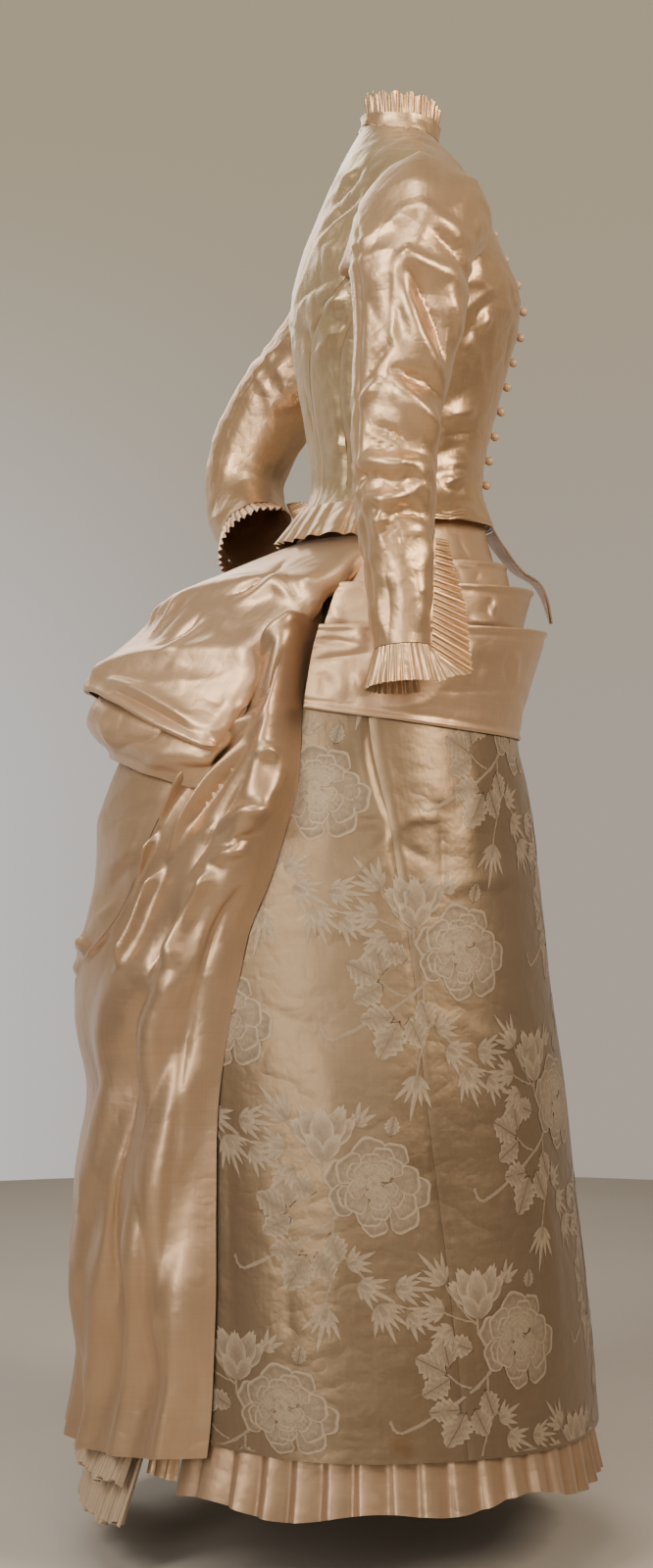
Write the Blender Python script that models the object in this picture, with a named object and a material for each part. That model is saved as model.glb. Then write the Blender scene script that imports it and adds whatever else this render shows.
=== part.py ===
"""Bustle dress in one rigid body: each cut piece is a thin closed wall, made through rings set by tables."""

import bpy
import math
import numpy as np

for old in list(bpy.data.objects):
    bpy.data.objects.remove(old, do_unlink=True)

# Lengths in metres. Front is -Y, the wearer's right is -X, z = 0 is the waist.
WALL = 0.0014
RUFFLE_WALL = 0.0010
SEAM = 0.0003
BACK_GAP = 0.0014
REST = 0.0008
LAYER = WALL + REST
SIDES = (("right", 1), ("left", -1))

SATIN = ("satin", (0.66, 0.49, 0.35), 0.32)
BROCADE = ("brocade", (0.58, 0.45, 0.31), 0.42)
SHEER = ("sheer", (0.72, 0.60, 0.46), 0.7)

RING_COLUMNS = ("v", "z_front", "z_side", "z_back", "y_front", "y_back", "y_wide", "half_width")

# Bodice rings from the hem up to the neck. Column v counts along the body.
BODICE = (
    (0.00, -0.046, -0.046, -0.046, -0.097, 0.106, 0.002, 0.131),
    (1.00, -0.005, -0.005, -0.005, -0.087, 0.088, 0.000, 0.104),
    (1.50, 0.020, 0.020, 0.020, -0.089, 0.088, 0.000, 0.103),
    (2.50, 0.065, 0.065, 0.065, -0.099, 0.096, 0.000, 0.112),
    (3.50, 0.125, 0.125, 0.125, -0.114, 0.106, 0.000, 0.127),
    (4.30, 0.162, 0.162, 0.162, -0.124, 0.110, 0.000, 0.136),
    (5.00, 0.190, 0.190, 0.190, -0.125, 0.108, 0.000, 0.140),
    (6.00, 0.232, 0.230, 0.232, -0.107, 0.098, 0.000, 0.141),
    (7.00, 0.272, 0.268, 0.280, -0.088, 0.079, -0.002, 0.140),
    (8.00, 0.303, 0.299, 0.316, -0.072, 0.063, -0.004, 0.133),
    (9.00, 0.326, 0.328, 0.343, -0.058, 0.049, -0.004, 0.094),
    (10.0, 0.343, 0.354, 0.365, -0.044, 0.036, -0.004, 0.050),
)
UNDERARM = 5.0
SHOULDER = 8.0

# Bodice seams as angles from the front, in degrees, by v.
SEAM_COLUMNS = ("v", "front", "side", "back")
SEAMS = (
    (0.00, 84.0, 134.0, 162.0),
    (1.50, 84.0, 134.0, 162.0),
    (3.50, 83.0, 130.0, 155.0),
    (4.30, 81.0, 118.0, 142.0),
    (5.00, 76.0, 103.0, 128.0),
)
ARMHOLE_COLUMNS = ("v", "front", "back")
ARMHOLE = (
    (5.00, 76.0, 128.0),
    (5.50, 61.0, 125.0),
    (6.00, 54.0, 121.0),
    (7.00, 56.0, 115.0),
    (7.60, 67.0, 106.0),
    (8.00, 90.0, 90.0),
)

# Skirt rings over the bustle, from the waist down. Column v is the drop below the waist.
SKIRT = (
    (0.000, 0.000, 0.000, 0.000, -0.0843, 0.0849, 0.000, 0.1003),
    (0.060, -0.060, -0.060, -0.060, -0.087, 0.100, 0.003, 0.115),
    (0.120, -0.120, -0.120, -0.120, -0.107, 0.160, 0.012, 0.143),
    (0.200, -0.200, -0.200, -0.200, -0.118, 0.215, 0.022, 0.162),
    (0.262, -0.262, -0.262, -0.262, -0.121, 0.240, 0.028, 0.174),
    (0.305, -0.305, -0.305, -0.305, -0.131, 0.250, 0.032, 0.181),
    (0.405, -0.405, -0.405, -0.405, -0.143, 0.268, 0.038, 0.198),
    (0.505, -0.505, -0.505, -0.505, -0.153, 0.280, 0.040, 0.214),
    (0.605, -0.605, -0.605, -0.605, -0.167, 0.285, 0.040, 0.230),
    (0.705, -0.705, -0.705, -0.703, -0.178, 0.288, 0.040, 0.246),
    (0.805, -0.805, -0.800, -0.798, -0.188, 0.290, 0.040, 0.262),
    (0.945, -0.945, -0.925, -0.915, -0.202, 0.292, 0.040, 0.284),
    (1.060, -1.010, -0.988, -1.024, -0.212, 0.310, 0.040, 0.298),
)
HEM = 0.945

# Bustle flap rings: from the waist out over the shelf to the rolled edge.
FLAP = (
    (0.00, -0.061, -0.061, -0.061, -0.10, 0.110, 0.005, 0.125),
    (0.25, -0.060, -0.108, -0.091, -0.10, 0.178, 0.020, 0.163),
    (0.50, -0.060, -0.160, -0.112, -0.10, 0.222, 0.035, 0.183),
    (0.75, -0.060, -0.222, -0.152, -0.10, 0.264, 0.050, 0.200),
    (0.92, -0.060, -0.272, -0.183, -0.10, 0.301, 0.058, 0.213),
    (1.00, -0.060, -0.294, -0.200, -0.10, 0.317, 0.062, 0.217),
    (1.06, -0.060, -0.303, -0.209, -0.10, 0.315, 0.062, 0.215),
)
# Lower puff rings, from under the flap to its turned bottom edge.
PUFF = (
    (0.00, -0.10, -0.200, -0.168, -0.10, 0.258, 0.040, 0.182),
    (0.30, -0.10, -0.250, -0.203, -0.10, 0.290, 0.050, 0.194),
    (0.60, -0.10, -0.292, -0.232, -0.10, 0.314, 0.056, 0.206),
    (0.85, -0.10, -0.322, -0.256, -0.10, 0.311, 0.056, 0.207),
    (1.00, -0.10, -0.340, -0.281, -0.10, 0.2882, 0.050, 0.1980),
)
# Back and side fall rings, from the hip and from under the puff to the back hem.
FALL = (
    (0.120, -0.12, -0.120, -0.120, -0.11, 0.180, 0.018, 0.150),
    (0.160, -0.16, -0.160, -0.160, -0.12, 0.205, 0.022, 0.162),
    (0.200, -0.20, -0.200, -0.205, -0.12, 0.230, 0.026, 0.171),
    (0.285, -0.30, -0.290, -0.283, -0.14, 0.285, 0.040, 0.189),
    (0.335, -0.34, -0.345, -0.335, -0.14, 0.305, 0.042, 0.198),
    (0.405, -0.40, -0.410, -0.405, -0.14, 0.308, 0.045, 0.209),
    (0.465, -0.46, -0.470, -0.465, -0.15, 0.324, 0.045, 0.219),
    (0.545, -0.54, -0.548, -0.545, -0.16, 0.328, 0.045, 0.231),
    (0.611, -0.61, -0.612, -0.611, -0.17, 0.316, 0.045, 0.240),
    (0.700, -0.70, -0.698, -0.700, -0.18, 0.329, 0.045, 0.254),
    (0.806, -0.80, -0.798, -0.806, -0.18, 0.328, 0.045, 0.270),
    (0.867, -0.86, -0.852, -0.867, -0.19, 0.318, 0.045, 0.279),
    (0.959, -0.94, -0.915, -0.955, -0.20, 0.330, 0.045, 0.293),
)
# Peplum at the back hem of the bodice: its foot, as a ring row, and the bodice level it hangs from.
PEPLUM_LEVEL = 0.5
PEPLUM_FOOT = (1.0, -0.064, -0.064, -0.062, -0.10, 0.1190, 0.002, 0.1460)
# Front point: half width and centre line standing off the hip drapery.
POINT_COLUMNS = ("y", "z", "half_width")
POINT = (
    (-0.0975, -0.0468, 0.034),
    (-0.1080, -0.0640, 0.030),
    (-0.1250, -0.0860, 0.025),
    (-0.1480, -0.1030, 0.019),
    (-0.1600, -0.1400, 0.006),
)

# Leading edge of the side falls, as an angle from the front by drop.
EDGE_COLUMNS = ("v", "front", "back")
FALL_EDGE = (
    (0.137, 118.5, 121.0),
    (0.165, 116.5, 122.0),
    (0.195, 116.0, 125.5),
    (0.230, 115.5, 130.0),
    (0.260, 114.0, 133.5),
    (0.300, 113.0, 138.0),
    (0.350, 115.0, 143.5),
    (0.400, 118.0, 150.0),
    (0.445, 122.0, 156.0),
    (0.490, 124.0, 171.0),
    (0.520, 125.5, 179.9),
    (0.600, 128.5, 179.9),
    (0.700, 129.0, 179.9),
    (0.800, 129.0, 179.9),
    (0.880, 130.0, 179.9),
    (0.959, 131.0, 179.9),
)
FLAP_EDGE = (
    (0.00, 116.0, 244.0),
    (0.25, 116.0, 244.0),
    (0.50, 120.6, 239.4),
    (0.75, 124.0, 236.0),
    (1.06, 127.0, 233.0),
)
PUFF_EDGE = (
    (0.00, 128.0, 232.0),
    (0.60, 133.0, 227.0),
    (1.00, 139.0, 221.0),
)
# Gore seam of the skirt, as an angle by drop.
GORE_COLUMNS = ("v", "turn")
GORE = (
    (0.000, 98.0),
    (0.256, 96.0),
    (0.353, 88.5),
    (0.486, 81.5),
    (0.600, 79.5),
    (0.716, 76.5),
    (0.945, 73.0),
)

# Hip drapery strips: each lies over the one above, its upper edge standing off.
HIP_COLUMNS = ("name", "top", "bottom_front", "bottom_back", "flare")
HIP_EASE = 0.0005
HIP_SWELL = 0.0016
HIP = (
    ("hip_fold_upper", 0.034, 0.124, 0.118, 0.000),
    ("hip_fold_middle", 0.084, 0.150, 0.146, 0.010),
    ("hip_fold_lower", 0.110, 0.178, 0.172, 0.026),
    ("hip_band", 0.152, 0.261, 0.232, 0.028),
)
HIP_END = 114.5

# Sleeve rings below the cap: centre, half sizes across (x) and along (y).
SLEEVE_COLUMNS = ("x", "y", "z", "half_x", "half_y")
SLEEVE_RIGHT = (
    (-0.197, 0.014, 0.178, 0.049, 0.057),
    (-0.201, 0.016, 0.135, 0.047, 0.053),
    (-0.203, 0.022, 0.092, 0.046, 0.048),
    (-0.206, 0.028, 0.052, 0.044, 0.043),
    (-0.210, 0.031, 0.012, 0.043, 0.041),
    (-0.213, 0.031, -0.030, 0.041, 0.039),
    (-0.217, 0.029, -0.075, 0.039, 0.035),
    (-0.221, 0.028, -0.125, 0.037, 0.031),
    (-0.227, 0.026, -0.178, 0.034, 0.026),
)
SLEEVE_LEFT = (
    (0.197, 0.034, 0.200, 0.048, 0.054),
    (0.214, 0.060, 0.168, 0.048, 0.052),
    (0.233, 0.087, 0.137, 0.047, 0.050),
    (0.250, 0.110, 0.105, 0.047, 0.048),
    (0.262, 0.127, 0.070, 0.047, 0.047),
    (0.262, 0.137, 0.034, 0.046, 0.045),
    (0.246, 0.138, 0.003, 0.044, 0.044),
    (0.222, 0.134, -0.018, 0.043, 0.043),
    (0.196, 0.128, -0.034, 0.042, 0.042),
)
CAP_STEPS = 3
CAP_REACH = 0.045
ARMHOLE_LIFT = 0.0012

# Raised folds: ends as (turn, row share) on the piece, then half width and height.
FOLD_COLUMNS = ("a0", "b0", "a1", "b1", "width", "height")
ELBOW_FOLDS = (
    (0.05, 0.30, 0.60, 0.37, 0.011, 0.0050),
    (0.30, 0.42, 0.85, 0.36, 0.010, 0.0055),
    (0.10, 0.47, 0.65, 0.52, 0.011, 0.0060),
    (0.45, 0.60, 0.95, 0.54, 0.010, 0.0050),
    (0.15, 0.66, 0.60, 0.70, 0.011, 0.0040),
)
FALL_FOLDS = (
    (0.10, 0.04, 0.10, 1.00, 0.015, 0.013),
    (0.36, 0.06, 0.34, 1.00, 0.015, 0.016),
    (0.64, 0.06, 0.62, 1.00, 0.017, 0.014),
    (0.92, 0.10, 0.88, 1.00, 0.018, 0.012),
)
FLAP_FOLDS = (
    (0.04, 0.20, 0.45, 0.42, 0.014, 0.008),
    (0.05, 0.45, 0.40, 0.72, 0.016, 0.007),
    (0.96, 0.20, 0.55, 0.42, 0.014, 0.008),
    (0.95, 0.45, 0.60, 0.72, 0.016, 0.007),
)

BUTTON_RADIUS = 0.0048
BUTTON_PITCH = 0.0255
BUTTON_TOP = 0.308
BUTTON_COUNT = 13

# Pleated and gathered trims: number of pleats over the whole piece.
FLOUNCE_PLEATS = 40
CUFF_PLEATS = 24
CUFF_WIDTH = 0.036
VENT_COLUMN = 4
VENT_ROWS = (-3, -2, -1)
FRILL_PLEATS = 24
DUST_PLEATS = 20
STRIP_PLEATS = 2
HUNG_INSIDE = 0.0098
PEPLUM_FLUTES = 12
PLEAT_WAVE = (0.0, 1.0, 1.0, 0.0)
CUFF_DEPTH = 0.0042
MIN_LEAN = 0.3
STITCH_IN = 0.0012
PEPLUM_DEPTH = 0.004
# Hem trims hung on the skirt's rings: rows of the ring table, angles, how far in, wave depth, flare.
TRIM_COLUMNS = (
    "name", "top", "foot", "start", "stop", "pleats", "inset", "depth", "kind", "flare", "ragged",
)
TRIMS = (
    ("front_flounce", 0.90, 1.025, -140.0, 140.0, FLOUNCE_PLEATS, HUNG_INSIDE + STITCH_IN, 0.009, SATIN,
     0.0, 0.010),
    ("back_strip_right", 0.90, 1.00, 140.7, 150.0, STRIP_PLEATS, HUNG_INSIDE, 0.008, SATIN, 0.0, 0.0),
    ("back_strip_left", 0.90, 1.00, 210.0, 219.3, STRIP_PLEATS, HUNG_INSIDE, 0.008, SATIN, 0.0, 0.0),
    ("dust_ruffle_upper", 0.925, 1.01, 150.6, 209.4, DUST_PLEATS, -LAYER, 0.008, SHEER, 0.020, 0.0),
    ("dust_ruffle_lower", 0.925, 1.058, 150.6, 209.4, DUST_PLEATS, HUNG_INSIDE + REST, 0.008, SHEER,
     0.019, 0.0),
)
PEPLUM_SPAN = (116.0, 244.0)
# Standing collar rings, and the rings of the frill inside it.
COLLAR = (
    (0.0, 0.3440, 0.3550, 0.3660, -0.0434, 0.0356, -0.004, 0.0492),
    (1.0, 0.3550, 0.3640, 0.3730, -0.0430, 0.0350, -0.004, 0.0470),
    (2.0, 0.3630, 0.3700, 0.3770, -0.0440, 0.0360, -0.004, 0.0470),
)
COLLAR_COLUMNS = 24
FRILL = (
    (0.0, 0.352, 0.360, 0.368, -0.0391, 0.0311, -0.004, 0.0431),
    (2.0, 0.382, 0.390, 0.397, -0.0412, 0.0342, -0.004, 0.0449),
)
FRILL_DEPTH = (0.0005, 0.0035)
SKIRT_LEVELS = (0.0, 0.03, 0.06, 0.09, 0.12, 0.16, 0.2, 0.262, 0.305, 0.405, 0.52, 0.66, 0.80, HEM)
SKIRT_REAR = 150.0
FALL_BACK_LEVELS = (0.235, 0.30, 0.35, 0.40, 0.445, 0.485, 0.512)
PUFF_LEVELS = (0.0, 0.3, 0.6, 0.85, 1.0)
FLAP_LEVELS = (0.0, 0.25, 0.5, 0.75, 0.92, 1.0, 1.06)
# Columns of points across each patch.
PANEL_POINTS = {"front": 8, "side": 4, "side_back": 4, "back": 5}
GORE_POINTS = {"front": 19, "side": 8, "back": 7}
BUSTLE_POINTS = {"back": 9, "side": 13, "puff": 17, "flap": 19}
HIP_POINTS = 19
HIP_ROWS = 5


def column_curve(table, columns, where):
    """Each column of the table at where, on a smooth curve through the rows."""
    data = np.array([row for row in table], dtype=float)
    keys = data[:, 0]
    where = np.clip(where, keys[0], keys[-1])
    slopes = np.gradient(data, keys, axis=0)
    index = int(np.clip(np.searchsorted(keys, where) - 1, 0, len(keys) - 2))
    span = keys[index + 1] - keys[index]
    t = (where - keys[index]) / span
    p0, p1 = data[index], data[index + 1]
    m0, m1 = slopes[index] * span, slopes[index + 1] * span
    value = (
        (2 * t**3 - 3 * t**2 + 1) * p0
        + (t**3 - 2 * t**2 + t) * m0
        + (3 * t**2 - 2 * t**3) * p1
        + (t**3 - t**2) * m1
    )
    return dict(zip(columns, value))


def ring_point(table, where, degrees):
    """A point of the ring surface at an angle from the front, positive to the wearer's right."""
    row = column_curve(table, RING_COLUMNS, where)
    angle = math.radians(degrees)
    s, c = math.sin(angle), math.cos(angle)
    front = c > 0
    reach = row["y_wide"] - row["y_front"] if front else row["y_back"] - row["y_wide"]
    z_end = row["z_front"] if front else row["z_back"]
    return np.array((
        -row["half_width"] * s,
        row["y_wide"] - reach * c,
        row["z_side"] * s * s + z_end * c * c,
    ))


def grid_normals(grid, closed):
    """Unit normals of a grid of points, along (columns x rows)."""
    if closed:
        along = np.roll(grid, -1, axis=1) - np.roll(grid, 1, axis=1)
    else:
        along = np.gradient(grid, axis=1)
    up = np.gradient(grid, axis=0)
    normal = np.cross(along, up)
    return normal / np.linalg.norm(normal, axis=2, keepdims=True)


def outward(grid, closed=False):
    """Normals turned away from the middle of the grid's own rings."""
    normal = grid_normals(grid, closed)
    middle = grid.mean(axis=(0, 1))
    middle = np.array((middle[0] * 0.5, 0.05, middle[2]))
    if np.sum(normal * (grid - middle)) < 0:
        normal = -normal
    return normal


def material_of(kind):
    name, colour, roughness = kind
    found = bpy.data.materials.get(name)
    if found:
        return found
    made = bpy.data.materials.new(name)
    made.use_nodes = True
    shader = made.node_tree.nodes["Principled BSDF"]
    shader.inputs["Base Color"].default_value = (*colour, 1.0)
    shader.inputs["Roughness"].default_value = roughness
    shader.inputs["Metallic"].default_value = 0.0
    return made


def add_wall(name, outer, normal, kind, closed=False, thickness=WALL):
    """A closed wall between a grid of outer points and the same points moved in."""
    rows, columns = outer.shape[:2]
    inner = outer - normal * thickness
    verts = np.concatenate((outer.reshape(-1, 3), inner.reshape(-1, 3)))
    half = rows * columns
    turns = columns if closed else columns - 1
    faces = []
    for r in range(rows - 1):
        for c in range(turns):
            d = (c + 1) % columns
            a0, a1 = r * columns + c, r * columns + d
            b0, b1 = (r + 1) * columns + c, (r + 1) * columns + d
            faces.append((a0, a1, b1))
            faces.append((a0, b1, b0))
            faces.append((half + a0, half + b1, half + a1))
            faces.append((half + a0, half + b0, half + b1))
    last = (rows - 1) * columns
    for c in range(turns):
        d = (c + 1) % columns
        faces.append((c, half + c, half + d, d))
        faces.append((last + c, last + d, half + last + d, half + last + c))
    if not closed:
        end = columns - 1
        for r in range(rows - 1):
            a, b = r * columns, (r + 1) * columns
            faces.append((a, b, half + b, half + a))
            faces.append((a + end, half + a + end, half + b + end, b + end))
    mesh = bpy.data.meshes.new(name)
    mesh.from_pydata(verts.tolist(), [], faces)
    mesh.validate()
    orient(mesh)
    mesh.materials.append(material_of(kind))
    made = bpy.data.objects.new(name, mesh)
    bpy.context.scene.collection.objects.link(made)


def orient(mesh):
    """Turns all faces out when the signed volume is negative."""
    volume = 0.0
    points = [v.co for v in mesh.vertices]
    for face in mesh.polygons:
        ring = [points[i] for i in face.vertices]
        for i in range(1, len(ring) - 1):
            volume += ring[0].dot(ring[i].cross(ring[i + 1]))
    if volume < 0:
        mesh.flip_normals()


def side_name(stem, side):
    return stem + "_" + side


def mirrored(grid, sign):
    out = grid.copy()
    if sign < 0:
        out[..., 0] *= -1
    return out


def raised(grid, normal, folds):
    """Moves grid points out over each fold of the table."""
    rows, columns = grid.shape[:2]
    out = grid.copy()
    for fold in folds:
        f = dict(zip(FOLD_COLUMNS, fold))
        ends = []
        for a, b in ((f["a0"], f["b0"]), (f["a1"], f["b1"])):
            r = min(rows - 1, max(0, b * (rows - 1)))
            c = min(columns - 1, max(0, a * (columns - 1)))
            ends.append(grid_at(grid, r, c))
        line = ends[1] - ends[0]
        length = np.linalg.norm(line)
        line = line / length
        offset = grid - ends[0]
        along = offset @ line
        share = np.clip(along / length, 0, 1)
        nearest = ends[0] + share[..., None] * length * line
        gap = grid - nearest
        gap = gap - normal * np.sum(gap * normal, axis=2, keepdims=True)
        away = np.linalg.norm(gap, axis=2) / f["width"]
        out = out + normal * (f["height"] * np.exp(-away**2))[..., None]
    return out


def grid_at(grid, r, c):
    r0, c0 = int(r), int(c)
    r1, c1 = min(r0 + 1, grid.shape[0] - 1), min(c0 + 1, grid.shape[1] - 1)
    fr, fc = r - r0, c - c0
    top = grid[r0, c0] * (1 - fc) + grid[r0, c1] * fc
    low = grid[r1, c0] * (1 - fc) + grid[r1, c1] * fc
    return top * (1 - fr) + low * fr


def seam_shift(table, where, metres):
    """Degrees on a ring that make up a short distance."""
    row = column_curve(table, RING_COLUMNS, where)
    size = min(row["half_width"], (row["y_back"] - row["y_front"]) / 2)
    return math.degrees(metres / size)


def seam_at(v, name):
    if v > UNDERARM:
        return column_curve(ARMHOLE, ARMHOLE_COLUMNS, v)[name]
    return column_curve(SEAMS, SEAM_COLUMNS, v)[name]


def ring_normal(table, v, degrees):
    """The ring surface's own normal, so that neighbours along a seam share it."""
    turn, rise = 0.5, 0.002 * (table[-1][0] - table[0][0])
    low, high = max(table[0][0], v - rise), min(table[-1][0], v + rise)
    across = ring_point(table, v, degrees + turn) - ring_point(table, v, degrees - turn)
    along = ring_point(table, high, degrees) - ring_point(table, low, degrees)
    normal = np.cross(across, along)
    normal /= np.linalg.norm(normal)
    middle = np.array((0.0, 0.04, 0.0))
    sideways = (ring_point(table, v, degrees) - middle) * np.array((1.0, 1.0, 0.0))
    return normal if normal @ sideways > 0 else -normal


def patch(table, levels, left, right, columns, sign=1, gap=SEAM):
    """A grid over ring levels between two angles, which may change by level, with its normals."""
    grid, normals = [], []
    for v in levels:
        shift = seam_shift(table, v, gap / 2)
        a, b = left(v) + shift, right(v) - shift
        turns = [a + (b - a) * c / (columns - 1) for c in range(columns)]
        grid.append([ring_point(table, v, t) for t in turns])
        normals.append([ring_normal(table, v, t) for t in turns])
    return mirrored(np.array(grid), sign), mirrored(np.array(normals), sign)


BODY_LEVELS = (0.0, 0.5, 1.0, 1.5, 2.0, 2.5, 3.0, 3.5, 4.3, 5.0)
ARM_LEVELS = (5.5, 6.0, 6.5, 7.0, 7.6, 8.0)
TOP_LEVELS = (9.0, 10.0)


def bodice():
    """Four panels a side. Front and back run on past the armhole to the shoulder and neck."""
    full = BODY_LEVELS + ARM_LEVELS + TOP_LEVELS
    for side, sign in SIDES:
        panels = (
            ("front", full, lambda v: 0.0, lambda v: seam_at(v, "front") if v <= SHOULDER else 90.0),
            ("side", BODY_LEVELS, lambda v: seam_at(v, "front"), lambda v: seam_at(v, "side")),
            ("side_back", BODY_LEVELS, lambda v: seam_at(v, "side"), lambda v: seam_at(v, "back")),
            ("back", full, lambda v: seam_at(v, "back") if v <= SHOULDER else 90.0, lambda v: 180.0),
        )
        for stem, levels, left, right in panels:
            grid, normal = patch(BODICE, levels, left, right, PANEL_POINTS[stem], sign)
            add_wall(side_name("bodice_" + stem, side), grid, normal, SATIN)


def armhole_loop(sign):
    """Points round the armhole from the shoulder tip by the front, underarm and back."""
    angles = [(v, seam_at(v, "front")) for v in reversed(ARM_LEVELS)]
    for share in (0.0, 0.5):
        a = seam_at(UNDERARM, "front") + share * (seam_at(UNDERARM, "side") - seam_at(UNDERARM, "front"))
        angles.append((UNDERARM, a))
    for share in (0.0, 0.5, 1.0):
        a = seam_at(UNDERARM, "side") + share * (seam_at(UNDERARM, "back") - seam_at(UNDERARM, "side"))
        angles.append((UNDERARM, a))
    angles += [(v, seam_at(v, "back")) for v in ARM_LEVELS[:-1]]
    loop = []
    for v, a in angles:
        here = ring_point(BODICE, v, a)
        east = ring_point(BODICE, v, a + 1) - here
        north = ring_point(BODICE, v + 0.02, a) - here
        normal = np.cross(north, east)
        normal = normal / np.linalg.norm(normal)
        if normal[0] > 0:
            normal = -normal
        loop.append((here, normal))
    points = np.array([p + n * ARMHOLE_LIFT for p, n in loop])
    normals = np.array([n for p, n in loop])
    points[:, 0] *= sign
    normals[:, 0] *= sign
    return points, normals


def tube_rings(table, start, sign):
    """Rings across the sleeve's path, each turned to run from its top by the front."""
    rows = [dict(zip(SLEEVE_COLUMNS, row)) for row in table]
    centres = np.array([(r["x"], r["y"], r["z"]) for r in rows])
    tangents = np.gradient(centres, axis=0)
    tangents /= np.linalg.norm(tangents, axis=1, keepdims=True)
    middle = start.mean(axis=0)
    rel = start - middle
    turn = np.arctan2(-rel[:, 1], rel[:, 2])
    rings = []
    for row, centre, tangent in zip(rows, centres, tangents):
        out = np.array((-float(sign), 0.0, 0.0))
        out = out - tangent * out.dot(tangent)
        out /= np.linalg.norm(out)
        front = np.cross(tangent, out) * sign
        if front[1] > 0 and abs(front[1]) > 0.3:
            front = -front
        rings.append([
            centre + row["half_x"] * math.cos(t) * out + row["half_y"] * math.sin(t) * front
            for t in turn
        ])
    return np.array(rings), tangents


def sleeve_grid(table, sign):
    """The sleeve from the armhole over the cap and down the arm."""
    start, normals = armhole_loop(sign)
    rings, tangents = tube_rings(table, start, sign)
    cap = [start]
    reach = CAP_REACH
    first = rings[0]
    span = np.linalg.norm(first - start, axis=1, keepdims=True)
    for step in range(1, CAP_STEPS + 1):
        t = step / (CAP_STEPS + 1)
        away = normals * np.array((1.0, 1.0, 0.5))
        away = away / np.linalg.norm(away, axis=1, keepdims=True)
        m0 = away * np.maximum(span * 1.1, reach)
        m1 = tangents[0] * np.maximum(span * 1.2, reach * 0.5)
        cap.append(
            (2 * t**3 - 3 * t**2 + 1) * start + (t**3 - 2 * t**2 + t) * m0
            + (3 * t**2 - 2 * t**3) * first + (t**3 - t**2) * m1
        )
    return np.concatenate((np.array(cap), rings))


def tube_normals(grid):
    along = np.roll(grid, -1, axis=1) - np.roll(grid, 1, axis=1)
    down = np.gradient(grid, axis=0)
    normal = np.cross(along, down)
    normal /= np.linalg.norm(normal, axis=2, keepdims=True)
    middle = grid.mean(axis=1, keepdims=True)
    if np.sum(normal * (grid - middle)) < 0:
        normal = -normal
    return normal


def sleeves():
    """Upper and under sleeve of each arm, parted along two seams, then the pleated cuff."""
    for side, sign, table in (("right", 1, SLEEVE_RIGHT), ("left", -1, SLEEVE_LEFT)):
        grid = sleeve_grid(table, sign)
        normal = tube_normals(grid)
        grid[2:] = raised(np.concatenate((grid, grid[:, :1]), axis=1),
                          np.concatenate((normal, normal[:, :1]), axis=1), ELBOW_FOLDS)[2:, :-1]
        count = grid.shape[1]
        front_seam = 4
        back_seam = count - 3
        upper = [i % count for i in range(back_seam, count + front_seam + 1)]
        under = list(range(front_seam, back_seam + 1))
        for stem, picks in (("sleeve_upper", upper), ("sleeve_under", under)):
            part = grid[:, picks].copy()
            for end, inner in ((0, 1), (-1, -2)):
                step = part[:, inner] - part[:, end]
                step /= np.linalg.norm(step, axis=1, keepdims=True)
                part[:, end] += step * SEAM / 2
            add_wall(side_name(stem, side), part, normal[:, picks], SATIN)
        cuff(side, grid, normal)


def strip(name, roots, outs, widths, pleats, depth, kind):
    """A pleated strip hung from a line of roots, each with its width and wave direction."""
    count = pleats * 4 + 1
    steps = np.linalg.norm(np.diff(roots, axis=0), axis=1)
    run = np.concatenate(((0.0,), np.cumsum(steps)))
    where = np.linspace(0.0, run[-1], count)
    root, out, width = [
        np.stack([np.interp(where, run, line[:, k]) for k in range(3)], axis=1)
        for line in (roots, outs, widths)
    ]
    out /= np.linalg.norm(out, axis=1, keepdims=True)
    wave = np.array([PLEAT_WAVE[i % 4] for i in range(count)])[:, None]
    rows = [root + width * share + out * wave * depth * (0.4 + 0.6 * share) for share in (0.0, 1.0)]
    grid = np.array(rows)
    down = grid[1] - grid[0]
    along = np.gradient(grid, axis=1)
    normal = np.cross(along, np.stack((down, down)))
    normal /= np.linalg.norm(normal, axis=2, keepdims=True)
    if np.sum(normal * out) < 0:
        normal = -normal
    add_wall(name, grid, normal, kind, False, RUFFLE_WALL)


def cuff(side, grid, normal):
    """A pleated ruffle that runs up the front vent and round the wrist."""
    ring = grid[-1]
    count = len(ring)
    centre = ring.mean(axis=0)
    drop = (grid[-1] - grid[-2]).mean(axis=0)
    drop /= np.linalg.norm(drop)
    seam = VENT_COLUMN
    front = ring[seam] - centre
    front -= drop * front.dot(drop)
    front /= np.linalg.norm(front)
    roots, outs, widths = [], [], []
    for r in VENT_ROWS:
        out = normal[r, seam]
        away = front - out * front.dot(out)
        if np.linalg.norm(away) < MIN_LEAN:
            sideways = np.cross(out, drop)
            away = -sideways * (1.0 if sideways.dot(normal[r, seam - 2] - out) >= 0 else -1.0)
        away /= np.linalg.norm(away)
        share = (r - VENT_ROWS[0]) / max(1, VENT_ROWS[-1] - VENT_ROWS[0])
        roots.append(grid[r, seam] + out * 0.0019 + drop * 0.0012 * share)
        outs.append(away * -0.2 + out)
        widths.append(CUFF_WIDTH * (out * 0.75 + away * 0.5 + drop * (0.15 + 0.35 * share)))
    for k in range(count - 1):
        c = (seam - k) % count
        point, out = ring[c], (ring[c] - centre) / np.linalg.norm(ring[c] - centre)
        roots.append(point - out * 0.0004 + drop * (0.0030 if k == 0 else REST))
        outs.append(out)
        turn = max(0.0, 1.0 - k / 2.0)
        widths.append(CUFF_WIDTH * (drop * (1.0 - 0.35 * turn) + out * (0.25 + 0.45 * turn)))
    strip(side_name("cuff_ruffle", side), np.array(roots), np.array(outs), np.array(widths),
          CUFF_PLEATS, CUFF_DEPTH, SATIN)


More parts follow.
